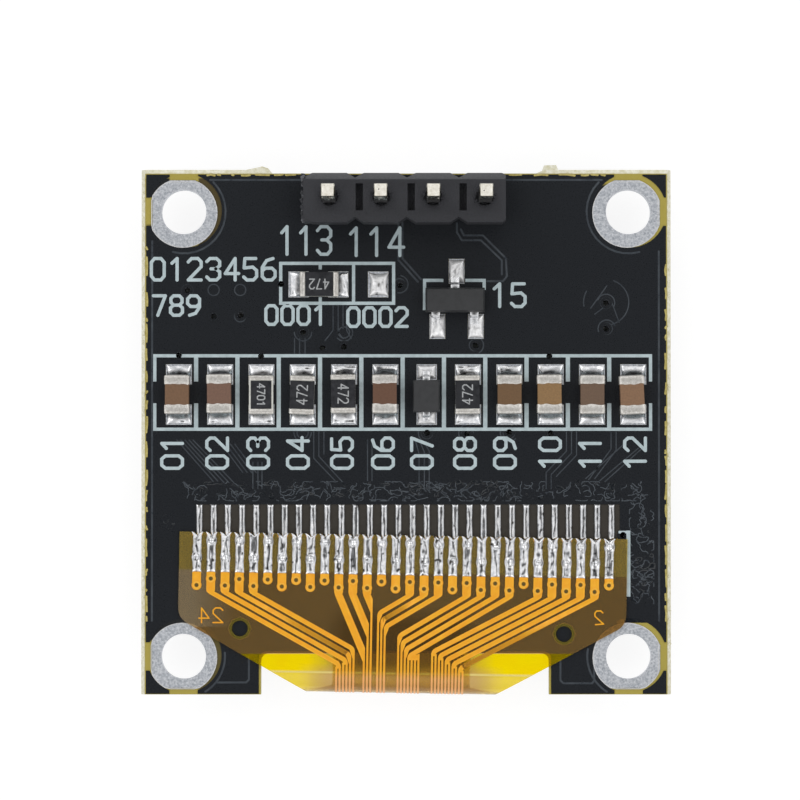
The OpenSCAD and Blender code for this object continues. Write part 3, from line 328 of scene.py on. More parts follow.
def materialOf(nodeName):
    chipName = nodeName[10:12].upper()  # capacitor_c6_body gives C6
    piece = nodeName.rsplit("_", 1)[-1]
    rules = [
        ("board_laminate", "laminate"), ("solder_mask", "mask"), ("legend", "legend"),
        ("board_lands", "tin"), ("flex_lands", "tin"), ("mounting_ring", "tin"),
        ("header_housing", "headerPlastic"), ("header_pin", "pin"), ("header_solder", "solder"),
        ("capacitor", "chipEnd" if piece == "ends" else "ceramic" + chipName),
        ("resistor", {"body": "alumina", "coat": "overcoat", "ends": "chipEnd"}.get(piece)),
        ("diode_body", "mould"), ("regulator_body", "mould"), ("diode_leads", "solder"),
        ("regulator_leads", "solder"), ("chip_solder", "solder"), ("flex_film", "film"),
        ("flex_copper", "copper"), ("flex_solder", "solder"), ("front_glass", "glass"),
        ("rear_glass", "glass"), ("glass_seal", "seal"), ("pixel_layers", "pixels"),
        ("polarizer", "polarizer"), ("driver_chip", "silicon"), ("adhesive_pad", "adhesive"),
    ]
    return next(material for start, material in rules if nodeName.startswith(start))


for nodeName, cadNode in cadNodes.items():
    cadNode.data.materials.clear()
    cadNode.data.materials.append(materials[materialOf(nodeName)])
print("frame dressed:", len(cadNodes), "nodes")


# Makers of new pieces
def addPiece(name, bm, finish, replaced=(), sharpAngle=40):
    bmesh.ops.recalc_face_normals(bm, faces=bm.faces)
    mesh = bpy.data.meshes.new(name)
    bm.to_mesh(mesh)
    bm.free()
    for face in mesh.polygons:
        face.use_smooth = True
    mesh.set_sharp_from_angle(angle=math.radians(sharpAngle))
    mesh.materials.append(materials[finish])
    piece = bpy.data.objects.new(name, mesh)
    bpy.context.scene.collection.objects.link(piece)
    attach(piece, "root")
    if replaced:
        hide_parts(*replaced)


# Distance in millimetres at which points merge, and angles in degrees that count as flat and as sharp
softening = {"merge": 0.0005, "flat": 1.5, "sharp": 30}


# A copy of a frame part with its sharp edges rounded off
def softCopy(name, nodeName, width, finish):
    bm = bmesh.new()
    bm.from_mesh(cadNodes[nodeName].data)
    bmesh.ops.remove_doubles(bm, verts=bm.verts, dist=softening["merge"] * mm)
    bmesh.ops.dissolve_limit(bm, angle_limit=math.radians(softening["flat"]), verts=bm.verts, edges=bm.edges)
    limit = math.radians(softening["sharp"])
    sharp = [edge for edge in bm.edges if len(edge.link_faces) == 2 and edge.calc_face_angle(0) > limit]
    bmesh.ops.bevel(bm, geom=sharp, offset=width * mm, offset_type="OFFSET", affect="EDGES",
                    segments=2, profile=0.5, material=-1, clamp_overlap=True)
    addPiece(name, bm, finish, [nodeName])


# A block on a grid: the corners past the inner box are pulled in to a radius
def addBlock(bm, low, high, radius, cuts, inner=None):
    start = len(bm.verts)
    made = bmesh.ops.create_cube(bm, size=1)["verts"]
    edges = list({edge for vert in made for edge in vert.link_edges})
    bmesh.ops.subdivide_edges(bm, edges=edges, cuts=cuts, use_grid_fill=True)
    verts = list(bm.verts)[start:]
    innerLow, innerHigh = inner or ([v + radius for v in low], [v - radius for v in high])
    for vert in verts:
        point = [low[i] + (vert.co[i] + 0.5) * (high[i] - low[i]) for i in range(3)]
        core = [min(max(point[i], innerLow[i]), innerHigh[i]) for i in range(3)]
        offset = Vector(point) - Vector(core)
        if offset.length > radius:
            point = Vector(core) + offset.normalized() * radius
        vert.co = Vector(point)
    return verts


def newPuddles():
    bm = bmesh.new()
    bm.verts.layers.float.new("shade")
    return bm


# A puddle over the given rectangle: its height and shade come from a function of the place
def addPuddle(bm, low, high, base, cuts, heightAt):
    shades = bm.verts.layers.float["shade"]
    start = len(bm.verts)
    grid = bmesh.ops.create_grid(bm, x_segments=cuts[0], y_segments=cuts[1], size=0.5)["verts"]
    faces = list({face for vert in grid for face in vert.link_faces})
    middle = len(bm.verts)
    bmesh.ops.extrude_face_region(bm, geom=faces, use_keep_orig=True)
    verts = list(bm.verts)
    for i, vert in enumerate(verts[start:], start):
        x, y, height, shade = heightAt(vert.co.x + 0.5, vert.co.y + 0.5, low, high)
        vert.co = Vector((x * mm, y * mm, base * mm if i >= middle else (base + height) * mm))
        vert[shades] = min(max(shade, 0), 1)
    return verts[start:]


def placeVerts(verts, x, y, turn=0.0):
    matrix = Matrix.Translation((x, y, 0)) @ Matrix.Rotation(math.radians(turn), 4, "Z")
    for vert in verts:
        vert.co = matrix @ vert.co


# Flat ink or copper lines with round ends: each path is a list of points in millimetres. Tops that
# meet differ by a hair in height
def addLines(name, paths, finish, width, height, level):
    bm = bmesh.new()
    holder = bpy.data.meshes.new("holder")
    sides, hair = 12, 0.0002
    turned = Matrix.Rotation(math.pi / sides, 4, "Z")
    count = 0
    for path in paths:
        line = bmesh.new()
        for start, end in zip(path, path[1:]):
            foot = bmesh.ops.create_circle(line, cap_ends=True, segments=sides, radius=width / 2 * mm,
                                           matrix=turned)["verts"]
            head = bmesh.ops.extrude_face_region(line, geom=[foot[0].link_faces[0]], use_keep_orig=True)
            run = Vector(end) - Vector(start)
            place = Matrix.Translation((start[0] * mm, start[1] * mm, level * mm)) @ Matrix.Rotation(
                math.atan2(run.y, run.x), 4, "Z")
            rise = (height + hair * (count % 5)) * mm
            top = [item for item in head["geom"] if isinstance(item, bmesh.types.BMVert)]
            for verts, z in ((foot, 0), (top, rise)):
                for vert in verts:
                    along = run.length * mm if vert.co.x > 0 else 0
                    vert.co = place @ Vector((vert.co.x + along, vert.co.y, z))
            count += 1
        line.to_mesh(holder)
        line.free()
        bm.from_mesh(holder)
    bpy.data.meshes.remove(holder)
    addPiece(name, bm, finish, sharpAngle=60)


def arcPath(x, y, radius, start=0, end=360, steps=14):
    angles = [math.radians(start + (end - start) * i / steps) for i in range(steps + 1)]
    return [(x + radius * math.cos(angle), y + radius * math.sin(angle)) for angle in angles]


# A smooth hump of height 1, and a slow random value from -1 to 1
def hump(offset, width):
    return math.exp(-(offset / width) ** 2)


def wander(x, y=0.0, z=0.0):
    return noise.noise((x, y, z))


# Edges that moulding, cutting and plating leave soft: node, width in millimetres, finish and slot
softEdges = {
    "header_block": ("header_housing", 0.035, "headerPlastic", "header_plastic"),
    **{f"pin_{i}": (f"header_pin_{i}", 0.03, "pin", "pin_metal") for i in range(1, 5)},
    "diode_block": ("diode_body", 0.03, "mould", "mould_compound"),
    "regulator_block": ("regulator_body", 0.03, "mould", "mould_compound"),
    "flex_tracks": ("flex_copper", 0.009, "copper", "copper"),
    "diode_feet": ("diode_leads", 0.02, "solder", "chip_metal"),
    "regulator_feet": ("regulator_leads", 0.02, "solder", "chip_metal"),
}
for name, (nodeName, width, finish, slot) in softEdges.items():
    softCopy(name, nodeName, width, finish)
print("soft edges:", len(softEdges), "pieces")

# Ceramic chips
chip = {"width": 1.25, "length": 1.94, "capacitorEnd": 0.46, "resistorEnd": 0.27, "radius": 0.1,
        "cuts": 12, "wave": 0.07, "swell": 0.012, "dome": 0.03, "domeEdge": 0.6,
        "wall": 0.035, "bodyRadius": 0.04, "bodySwell": 0.006}
chipTurns = {"c5": 0.4, "r6": -2, "r7": 0.4, "r10": 0.6, "c1": 0.5, "c3": 2.6, "r11": 90}
resistors = ["r5", "r6", "r7", "r10", "r11"]


def chipKind(name):
    return "capacitor" if name[0] == "c" else "resistor"


# The two metal caps, their inner edges wavy and their tops domed
def makeCaps(name, kind, half, reach):
    low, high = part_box(f"{kind}_{name}_ends")
    x, y = (low.x + high.x) / 2, (low.y + high.y) / 2
    end, radius = chip[kind + "End"] * mm, chip["radius"] * mm
    bm = bmesh.new()
    for side in (-1, 1):
        start = (reach - end) * side
        lows = (-half, min(start, side * reach), low.z)
        highs = (half, max(start, side * reach), high.z)
        innerLow = [lows[0] + radius, lows[1] + (radius if side < 0 else 0), lows[2] + radius]
        innerHigh = [highs[0] - radius, highs[1] - (radius if side > 0 else 0), highs[2] - radius]
        verts = addBlock(bm, lows, highs, radius, chip["cuts"], (innerLow, innerHigh))
        for vert in verts:
            share = 1 - min(abs(vert.co.y - start) / end, 1)
            wave = wander(vert.co.x / mm * 3.1 + x / mm, side * 9.0, vert.co.z / mm * 2)
            vert.co.y += side * wave * chip["wave"] * mm * share
            swell = chip["swell"] * noise.noise(vert.co / mm * 2.4 + Vector((x, y, 0)) / mm)
            middle = 1 - abs(2 * (vert.co.y - start) / end - side) ** 2
            if vert.co.z > (low.z + high.z) / 2:
                vert.co.z += (swell + chip["dome"] * (middle - chip["domeEdge"])) * mm
        placeVerts(verts, x, y, chipTurns.get(name, 0))
    addPiece(name + "_caps", bm, "chipEnd", [f"{kind}_{name}_ends"])
    return x, y


def makeCeramic(name, half, reach, x, y):
    low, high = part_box(f"capacitor_{name}_body")
    inset, end = chip["wall"] * mm, chip["capacitorEnd"] * mm
    bm = bmesh.new()
    verts = addBlock(bm, (-half + inset, -reach + end / 2, low.z), (half - inset, reach - end / 2, high.z),
                     chip["bodyRadius"] * mm, chip["cuts"])
    for vert in verts:
        vert.co.z += chip["bodySwell"] * mm * noise.noise(vert.co / mm * 3 + Vector((x, y, 0)) / mm)
    placeVerts(verts, x, y, chipTurns.get(name, 0))
    addPiece(name + "_ceramic", bm, "ceramic" + name.upper(),
             [f"capacitor_{name}_body"])


for name in list(capacitorColours) + resistors:
    half, reach = chip["width"] / 2 * mm, chip["length"] / 2 * mm
    x, y = makeCaps(name, chipKind(name), half, reach)
    if chipKind(name) == "capacitor":
        makeCeramic(name, half, reach, x, y)
print("ceramic chips made")

# Solder of the flex: a bead on each finger and one on the land beyond it. Odd fingers have their
# hole, and the bead its bulge, further from the edge
joint = {"pitch": 0.7, "count": 30, "top": -4.99, "bulges": (0.42, 1.24), "seedStep": 7.3,
         "thinnest": 0.004}
finger = {"low": -6.97, "level": 2.905, "width": 0.45, "height": 0.08, "cuts": (12, 44), "wobble": 0.012,
          "flare": 0.055, "flareLength": 0.2, "notch": 0.17, "notchHalf": 0.75, "notchLength": 0.5,
          "bulge": 0.05, "bulgeLength": 0.17, "ring": 0.14, "ringHeight": 0.04, "dimple": 0.03,
          "lumps": 0.07, "streak": 1.1, "specks": 4, "seam": 1.2, "seamRadius": 0.2}
land = {"low": -0.25, "high": 1.52, "level": 2.755, "width": 0.325, "height": 0.1, "cuts": (8, 34),
        "sideways": 0.16, "wobble": 0.08, "lumps": 0.05, "streak": 0.9, "specks": 3}
speckLimit = 0.38


# The flex is straight in its own places: this turns them as it is soldered
def asSoldered(x, y):
    turn = math.radians(flexPlace["turn"])
    dy = y - flexPlace["shoulder"]
    return (flexPlace["x"] + x * math.cos(turn) - dy * math.sin(turn),
            flexPlace["shoulder"] + x * math.sin(turn) + dy * math.cos(turn))


def fingerX(i):
    return (i - (joint["count"] + 1) / 2) * joint["pitch"]


def fingerBead(seed, bulge, streak):
    def heightAt(u, v, low, high):
        across = (u - 0.5) * 2
        y = low[1] + v * (high[1] - low[1])
        inward = high[1] - y
        wide = finger["width"] / 2 + finger["bulge"] * hump(y - bulge, finger["bulgeLength"])
        wide += finger["flare"] * max(0, 1 - inward / finger["flareLength"])
        wide += finger["wobble"] * wander(y * 3, seed)
        notch = finger["notch"] * max(0, 1 - abs(across) / finger["notchHalf"])
        y -= notch * max(0, 1 - inward / finger["notchLength"])
        x = low[0] + across * wide
        crown = (1 - abs(across) ** 3) * (1 - abs(2 * v - 1) ** 18)
        ring = math.hypot(across * wide, y - bulge)
        lumps = finger["lumps"] * wander(x * 3, y * 2, seed) - finger["dimple"] * hump(ring, 0.08)
        lumps += finger["ringHeight"] * hump(ring - finger["ring"], 0.05)
        # shade: a painted dark reflection as a streak along the bead, with darkened specks and a darkened
        # ring round the hole
        shade = finger["streak"] * hump(across - streak - 0.15 * math.sin(y * 5 + seed), 0.1)
        shade *= max(0, 0.35 + 1.3 * wander(across * 2, y * 2.2, seed + 9))
        shade += finger["specks"] * max(0, wander(x * 7, y * 6, seed + 4) - speckLimit)
        seam = finger["seam"] * hump(ring - finger["seamRadius"], 0.03)
        shade += seam * max(0, 0.3 + wander(x * 5, y * 5, 1))
        return *asSoldered(x, y), max((finger["height"] + lumps) * crown, joint["thinnest"]), shade
    return heightAt


def landBead(seed, streak):
    def heightAt(u, v, low, high):
        across = (u - 0.5) * 2
        y = low[1] + v * (high[1] - low[1])
        x = low[0] + across * land["width"] / 2 * (1 + land["wobble"] * wander(y * 2, seed, 5))
        crown = (1 - abs(across) ** 4) * (1 - abs(2 * v - 1) ** 18)
        lumps = land["lumps"] * wander(x * 3, y * 1.8, seed + 3)
        # shade: a painted dark reflection as a streak along the bead, with darkened specks
        shade = land["streak"] * hump(across - 0.2 - streak, 0.12)
        shade *= max(0, 0.6 + wander(0, y * 1.6, seed + 5))
        shade += land["specks"] * max(0, wander(x * 7, y * 4, seed + 6) - speckLimit)
        return x, y, max((land["height"] + lumps) * crown, joint["thinnest"]), shade
    return heightAt


def makeFlexSolder():
    bm = newPuddles()
    top = joint["top"]
    for i in range(1, joint["count"] + 1):
        seed = i * joint["seedStep"]
        streak = 0.35 * wander(seed, 2)
        x = fingerX(i)
        landX = x + flexPlace["x"] + land["sideways"]
        addPuddle(bm, (x, finger["low"]), (x, top), finger["level"], finger["cuts"],
                  fingerBead(seed, top - joint["bulges"][i % 2], streak))
        addPuddle(bm, (landX, top + land["low"]), (landX, top + land["high"]), land["level"], land["cuts"],
                  landBead(seed, streak))
    addPiece("flex_beads", bm, "solder", ["flex_solder"], sharpAngle=80)


makeFlexSolder()

# Each finger's plated hole is a bright ring with a filled middle, a line too short to see as one
via = {"rows": (-7.29, -7.62), "ring": 0.16, "dot": 0.002, "alignmentRing": 0.56}


def makeFingerVias():
    middles = [asSoldered(fingerX(i), via["rows"][i % 2]) for i in range(1, joint["count"] + 1)]
    rings = [arcPath(x, y, via["ring"], steps=12) for x, y in middles]
    fills = [[(x, y), (x + via["dot"], y)] for x, y in middles]
    edges = []
    for side in (-1, 1):
        circle = arcPath(side * flexPlace["holeX"], flexPlace["holeY"], via["alignmentRing"], steps=8)
        edges.append([asSoldered(x, y) for x, y in circle])
    addLines("finger_rings", rings, "viaRing", width=0.05, height=0.012, level=2.902)
    addLines("finger_fills", fills, "viaFill", width=0.22, height=0.02, level=2.874)
    addLines("alignment_rings", edges, "filmEdge", width=0.05, height=0.01, level=2.862)


makeFingerVias()
print("flex solder made")

# Solder of the chips
row = {"pitch": 2.036, "y": 1.94, "landEnd": 1.46, "landHalf": 0.61, "level": 2.755, "paste": 0.05,
       "overlap": 0.03, "cuts": (22, 16), "seedStep": 3.7}
rowChips = ("c6", "c5", "r5", "r6", "r7", "c9", "d1", "r10", "c2", "c1", "c4", "c3")
climb = {"c": 0.5, "r": 0.28}      # how high the solder stands at a chip's end
# darkness: the strength of the painted shade and reflection on the slopes above and below the row
darkness = {1: 0.95, -1: 0.6}      # of the slopes above and below the row
thinSolder = 0.005
slope = {"fall": 2.2, "hollow": 0.4, "pull": 0.05, "ragged": 0.05, "lumps": 0.05, "archHalf": 0.72,
         "archReach": 0.62, "archDip": 0.25}
blobShape = {"fullness": 0.8, "lumps": 0.3, "specks": 1.8, "speckLimit": 0.32, "rim": 0.7, "dimpleHalf": 0.16}


# Solder that climbs a chip's end by the given rise and runs out over its land. Its shade paints a dark arch
# near the chip, the chip's body reflected, and a dark strip at the chip's end, its shadow; it also darkens
# specks
def meniscus(rise, seed, dark):
    def heightAt(u, v, low, high):
        across = (u - 0.5) * 2
        half = (high[0] - low[0]) / 2 * (1 - slope["ragged"] * v * wander(seed, v))
        x = (low[0] + high[0]) / 2 + across * half
        pull = slope["pull"] * (1 - abs(across) ** 2) * v
        y = low[1] + (v - pull) * (high[1] - low[1])
        edge = (1 - abs(across) ** 10) * (1 - v ** 16)
        lumps = slope["lumps"] * wander(across * 1.8, v * 2.2, seed)
        height = rise * (1 - v) ** slope["fall"] * (1 - slope["hollow"] * across ** 2)
        height += row["paste"] + lumps * (0.4 + v)
        arch = math.exp(-(across / slope["archHalf"]) ** 4)
        arch *= max(0, 1 - v / (slope["archReach"] - slope["archDip"] * across ** 2))
        shade = dark * min(1, 2.2 * arch) * (0.75 + 0.5 * wander(across * 3, v * 3, seed + 2))
        shade += 0.9 * max(0, wander(across * 5, v * 6, seed + 7) - 0.35)
        shade += 0.8 * max(0, 1 - v / 0.08)
        return x, y, max(height * edge, thinSolder), shade
    return heightAt


# A blob that swallows a foot, with its corners drawn out by the given share. Its shade paints shade along its
# rim and, by the given dimple, a dark spot in its middle that its height does not sink; it also darkens
# specks
def blob(rise, seed, corners=0.0, dimple=0.0):
    def heightAt(u, v, low, high):
        a, b = (u - 0.5) * 2, (v - 0.5) * 2
        halfX, halfY = (high[0] - low[0]) / 2, (high[1] - low[1]) / 2
        x = (low[0] + high[0]) / 2 + a * halfX * (1 - corners * (1 - b * b))
        y = (low[1] + high[1]) / 2 + b * halfY * (1 - corners * (1 - a * a))
        edge = (1 - abs(a) ** 5) * (1 - abs(b) ** 5)
        lumps = blobShape["lumps"] * wander(a * 1.5, b * 1.6, seed)
        specks = max(0, wander(a * 2.6, b * 2.6, seed + 5) - blobShape["speckLimit"])
        shade = blobShape["specks"] * specks + blobShape["rim"] * max(abs(a), abs(b)) ** 12
        shade += dimple * hump(math.hypot(a, b), blobShape["dimpleHalf"])
        return x, y, max(rise * (blobShape["fullness"] + lumps) * edge, thinSolder), shade
    return heightAt


# The twelve parts of the row, the diode among them
def addRowJoints(bm, blobs):
    diodeFoot = {"half": 0.47, "low": 0.78, "rise": 0.2, "corners": 0.06, "cuts": (16, 14)}
    for i, name in enumerate(rowChips):
        landX = (i - (len(rowChips) - 1) / 2) * row["pitch"]
        for side in (-1, 1):
            seed = i * row["seedStep"] + side
            if name == "d1":
                verts = addPuddle(blobs, (-diodeFoot["half"], diodeFoot["low"]),
                                  (diodeFoot["half"], row["landEnd"]), row["level"], diodeFoot["cuts"],
                                  blob(diodeFoot["rise"], seed, diodeFoot["corners"]))
            else:
                low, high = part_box(f"{chipKind(name)}_{name}_ends")
                chipEnd = (low.y + high.y) / 2 / mm + side * chip["length"] / 2
                verts = addPuddle(bm, (-row["landHalf"], abs(chipEnd - row["y"]) - row["overlap"]),
                                  (row["landHalf"], row["landEnd"]), row["level"], row["cuts"],
                                  meniscus(climb[name[0]], seed, darkness[side]))
            placeVerts(verts, landX * mm, row["y"] * mm, 0 if side > 0 else 180)


# The resistor that lies across, and the blob on the empty land beside it
def addCrossJoints(bm, blobs):
    bare = {"away": 2.94, "halfX": 0.49, "halfY": 0.6, "rise": 0.22, "corners": 0.14, "dimple": 1.0,
            "cuts": (26, 26), "seed": 51}
    low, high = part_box("resistor_r11_ends")
    middle = (low + high) / 2
    for side in (-1, 1):
        verts = addPuddle(bm, (-row["landHalf"], chip["length"] / 2 - row["overlap"]),
                          (row["landHalf"], row["landEnd"] - 0.01), row["level"], row["cuts"],
                          meniscus(climb["r"], 40 + side, 0.7))
        placeVerts(verts, middle.x, middle.y, 90 * side)
    verts = addPuddle(blobs, (-bare["halfX"], -bare["halfY"]), (bare["halfX"], bare["halfY"]), row["level"],
                      bare["cuts"], blob(bare["rise"], bare["seed"], bare["corners"], bare["dimple"]))
    placeVerts(verts, middle.x + bare["away"] * mm, middle.y)


def addRegulatorJoints(blobs):
    foot = {"leads": ((0.08, 1), (-0.87, -1), (1.03, -1)), "reach": 1.36, "further": 0.08, "halfX": 0.39,
            "halfY": 0.58, "rise": 0.22, "corners": 0.04, "cuts": (20, 26), "seed": 60}
    low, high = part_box("regulator_body")
    middle = (low + high) / 2
    for leadX, side in foot["leads"]:
        reach = foot["reach"] + foot["further"] * side
        verts = addPuddle(blobs, (-foot["halfX"], -foot["halfY"]), (foot["halfX"], foot["halfY"]),
                          row["level"], foot["cuts"],
                          blob(foot["rise"], foot["seed"] + leadX, foot["corners"]))
        placeVerts(verts, middle.x + leadX * mm, middle.y + side * reach * mm)


def makeChipSolder():
    bm, blobs = newPuddles(), newPuddles()
    addRowJoints(bm, blobs)
    addCrossJoints(bm, blobs)
    addRegulatorJoints(blobs)
    addPiece("chip_joints", bm, "solder", ["chip_solder"], sharpAngle=80)
    addPiece("blob_joints", blobs, "litSolder", sharpAngle=80)


makeChipSolder()
print("chip solder made")

# Cut tops of the pins
pinTop = {"inset": 0.035, "depth": 0.05, "rise": 0.004, "radius": 0.03, "lumps": 0.01, "cuts": 8}


def makePinTops():
    bm = bmesh.new()
    for i in range(1, 5):
        low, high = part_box(f"header_pin_{i}")
        half = (high.x - low.x) / 2 - pinTop["inset"] * mm
        middle = (low + high) / 2
        verts = addBlock(bm, (-half, -half, high.z - pinTop["depth"] * mm),
                         (half, half, high.z + pinTop["rise"] * mm), pinTop["radius"] * mm, pinTop["cuts"])
        for vert in verts:
            vert.co.z += pinTop["lumps"] * mm * noise.noise(vert.co / mm * 4 + Vector((i * 5.0, 0, 0)))
        placeVerts(verts, middle.x, middle.y)
    addPiece("pin_tops", bm, "pinCut")


makePinTops()


# Flakes where the plastic strip was snapped, and fibres along the snapped edges of the board. Their
# half sizes and corners are shares of the size, and they turn and tilt in radians
flakeShape = {"half": (0.3, 0.7), "corner": 0.25, "lumps": 0.3, "turn": 3, "tilt": 0.5, "cuts": 2}


def makeFlakes(name, count, seed, finish, slot, size, placeAt):
    random.seed(seed)
    bm = bmesh.new()
    for i in range(count):
        place = Vector(placeAt(random.random(), random.random(), random.random()))
        half = [size * mm * random.uniform(*flakeShape["half"]) for axis in range(3)]
        corner = flakeShape["corner"] * size * mm
        verts = addBlock(bm, [-h for h in half], half, corner, flakeShape["cuts"])
        turn = Matrix.Rotation(random.uniform(0, flakeShape["turn"]), 4, "Z")
        turn = turn @ Matrix.Rotation(random.uniform(-flakeShape["tilt"], flakeShape["tilt"]), 4, "X")
        for vert in verts:
            lump = flakeShape["lumps"] * noise.noise(vert.co / mm * 9 + Vector((i, 0, 0)))
            vert.co = turn @ vert.co * (1 + lump)
            vert.co += place * mm
    addPiece(name, bm, finish)


# Fills a box from its start by the given reach; a heap below 1 gathers them at the far end in height
def inBox(start, reach, heap=1):
    def placeAt(a, b, c):
        return start[0] + reach[0] * a, start[1] + reach[1] * b, start[2] + reach[2] * c ** heap
    return placeAt


# Round a pin, at the given distance from its middle, and a little into the plastic
pinFlake = {"away": 0.42, "spread": 0.1, "sweep": 6.3, "sunk": 0.01}
pinMiddles = [sum(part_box(f"header_pin_{i}"), Vector()) / 2 / mm for i in range(1, 5)]


def besidePin(a, b, c):
    middle = pinMiddles[int(b * 3.999)]
    away = pinFlake["away"] + pinFlake["spread"] * c
    angle = pinFlake["sweep"] * a
    return (middle.x + away * math.cos(angle), middle.y + away * math.sin(angle),
            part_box("header_housing")[1].z / mm - pinFlake["sunk"])


flakes = {
    "torn_flakes": dict(count=34, seed=3, finish="tornPlastic", slot="header_plastic", size=0.13,
                        placeAt=inBox((-5.07, 10.35, 3.3), (0.05, 2.3, 1.85), heap=0.3)),
    "torn_crumbs": dict(count=16, seed=4, finish="headerPlastic", slot="header_plastic", size=0.2,
                        placeAt=inBox((-5.06, 10.4, 5.0), (0.05, 2.2, 0.15))),
    "edge_fibres_left": dict(count=70, seed=5, finish="laminate", slot="laminate", size=0.16,
                             placeAt=inBox((-12.93, -12.6, 2.58), (0.05, 25.2, -0.15))),
    "edge_fibres_right": dict(count=50, seed=6, finish="laminate", slot="laminate", size=0.14,
                              placeAt=inBox((12.9, -12.6, 2.58), (0.06, 25.2, -0.15))),
    "pin_flakes": dict(count=60, seed=7, finish="headerPlastic", slot="header_plastic", size=0.11,
                       placeAt=besidePin),
}
for name, settings in flakes.items():
    makeFlakes(name, **settings)
print("flakes and fibres made")

# Numbers printed on the board, from strokes in a cell of height 1
digitWidth, digitStep = 0.6, 0.86
digitStrokes = {
    "0": [[(0.15, 0), (0.45, 0), (0.6, 0.18), (0.6, 0.82), (0.45, 1), (0.15, 1), (0, 0.82), (0, 0.18),
           (0.15, 0)]],
    "1": [[(0.1, 0.78), (0.34, 1), (0.34, 0)]],
    "2": [[(0, 0.84), (0.15, 1), (0.45, 1), (0.6, 0.84), (0.6, 0.62), (0, 0), (0.6, 0)]],
    "3": [[(0, 0.86), (0.15, 1), (0.45, 1), (0.6, 0.86), (0.6, 0.66), (0.42, 0.52), (0.6, 0.38),
           (0.6, 0.14), (0.45, 0), (0.15, 0), (0, 0.14)], [(0.2, 0.52), (0.42, 0.52)]],
    "4": [[(0.46, 0), (0.46, 1), (0, 0.3), (0.62, 0.3)]],
    "5": [[(0.56, 1), (0.05, 1), (0.02, 0.56), (0.42, 0.6), (0.6, 0.44), (0.6, 0.16), (0.45, 0),
           (0.15, 0), (0, 0.14)]],
    "6": [[(0.5, 1), (0.2, 0.9), (0, 0.58), (0, 0.16), (0.15, 0), (0.45, 0), (0.6, 0.16), (0.6, 0.4),
           (0.45, 0.55), (0.15, 0.55), (0, 0.42)]],
    "7": [[(0, 1), (0.6, 1), (0.22, 0)]],
    "8": [[(0.15, 0.52), (0, 0.38), (0, 0.14), (0.15, 0), (0.45, 0), (0.6, 0.14), (0.6, 0.38),
           (0.45, 0.52), (0.15, 0.52), (0.02, 0.66), (0.02, 0.86), (0.15, 1), (0.45, 1), (0.58, 0.86),
           (0.58, 0.66), (0.45, 0.52)]],
    "9": [[(0.1, 0), (0.4, 0.1), (0.6, 0.42), (0.6, 0.84), (0.45, 1), (0.15, 1), (0, 0.84), (0, 0.6),
           (0.15, 0.45), (0.45, 0.45), (0.6, 0.58)]],
}


# Paths of a number about its middle, at the given height of its digits
def numberPaths(text, x, y, height, turn=0, wide=1.0, mirrored=False):
    span = (len(text) - 1) * digitStep + digitWidth
    angle = math.radians(turn)
    paths = []
    for i, digit in enumerate(text):
        for stroke in digitStrokes[digit]:
            path = []
            for px, py in stroke:
                dx, dy = (px + i * digitStep - span / 2) * height * wide, (py - 0.5) * height
                dx = -dx if mirrored else dx
                path.append((x + dx * math.cos(angle) - dy * math.sin(angle),
                             y + dx * math.sin(angle) + dy * math.cos(angle)))
            paths.append(path)
    return paths


rowLabels = [(-11.53, "01"), (-9.31, "02"), (-7.29, "03"), (-5.33, "04"), (-3.16, "05"), (-1.14, "06"),
             (0.78, "07"), (2.9, "08"), (4.87, "09"), (7.09, "10"), (9.06, "11"), (11.28, "12")]
rowLabel = {"y": -0.95, "height": 1.02, "turn": 90}
# number, x, y, height and how wide it is set
boardNumbers = [
    ("113", -4.98, 9.54, 1.36, 0.8), ("114", -1.5, 9.48, 1.36, 0.86), ("0123456", -9.51, 8.12, 1.06, 1),
    ("789", -11.32, 6.33, 0.96, 1.02), ("0001", -5.45, 5.86, 0.92, 1), ("0002", -1.41, 5.76, 0.92, 1),
    ("15", 5.05, 6.84, 1.12, 1)]
# resistor, number, height, turn and how wide it is set
resistorNumbers = [("r5", "4701", 0.36, -90, 0.95), ("r6", "472", 0.5, 88, 0.8), ("r7", "472", 0.5, -90, 0.8),
                   ("r10", "472", 0.48, 90, 0.85), ("r11", "472", 0.48, 180, 0.85)]
printed = []
for x, text in rowLabels:
    printed += numberPaths(text, x, rowLabel["y"], rowLabel["height"], rowLabel["turn"])
for text, x, y, height, wide in boardNumbers:
    printed += numberPaths(text, x, y, height, wide=wide)
filmNumbers = numberPaths("24", -9.6, -8.93, height=0.72, wide=1.1, mirrored=True)
filmNumbers += numberPaths("2", 9.5, -9.05, height=0.66, turn=4, mirrored=True)
chipMarks = []
for name, text, height, turn, wide in resistorNumbers:
    low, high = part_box(f"resistor_{name}_coat")
    chipMarks += numberPaths(text, (low.x + high.x) / 2 / mm, (low.y + high.y) / 2 / mm, height, turn, wide)
addLines("printed_numbers", printed, "legend", width=0.165, height=0.018, level=2.752)
addLines("film_numbers", filmNumbers, "copper", width=0.07, height=0.012, level=2.884)
addLines("chip_marks", chipMarks, "chipMark", width=0.062, height=0.006, level=3.284)
print("numbers printed")

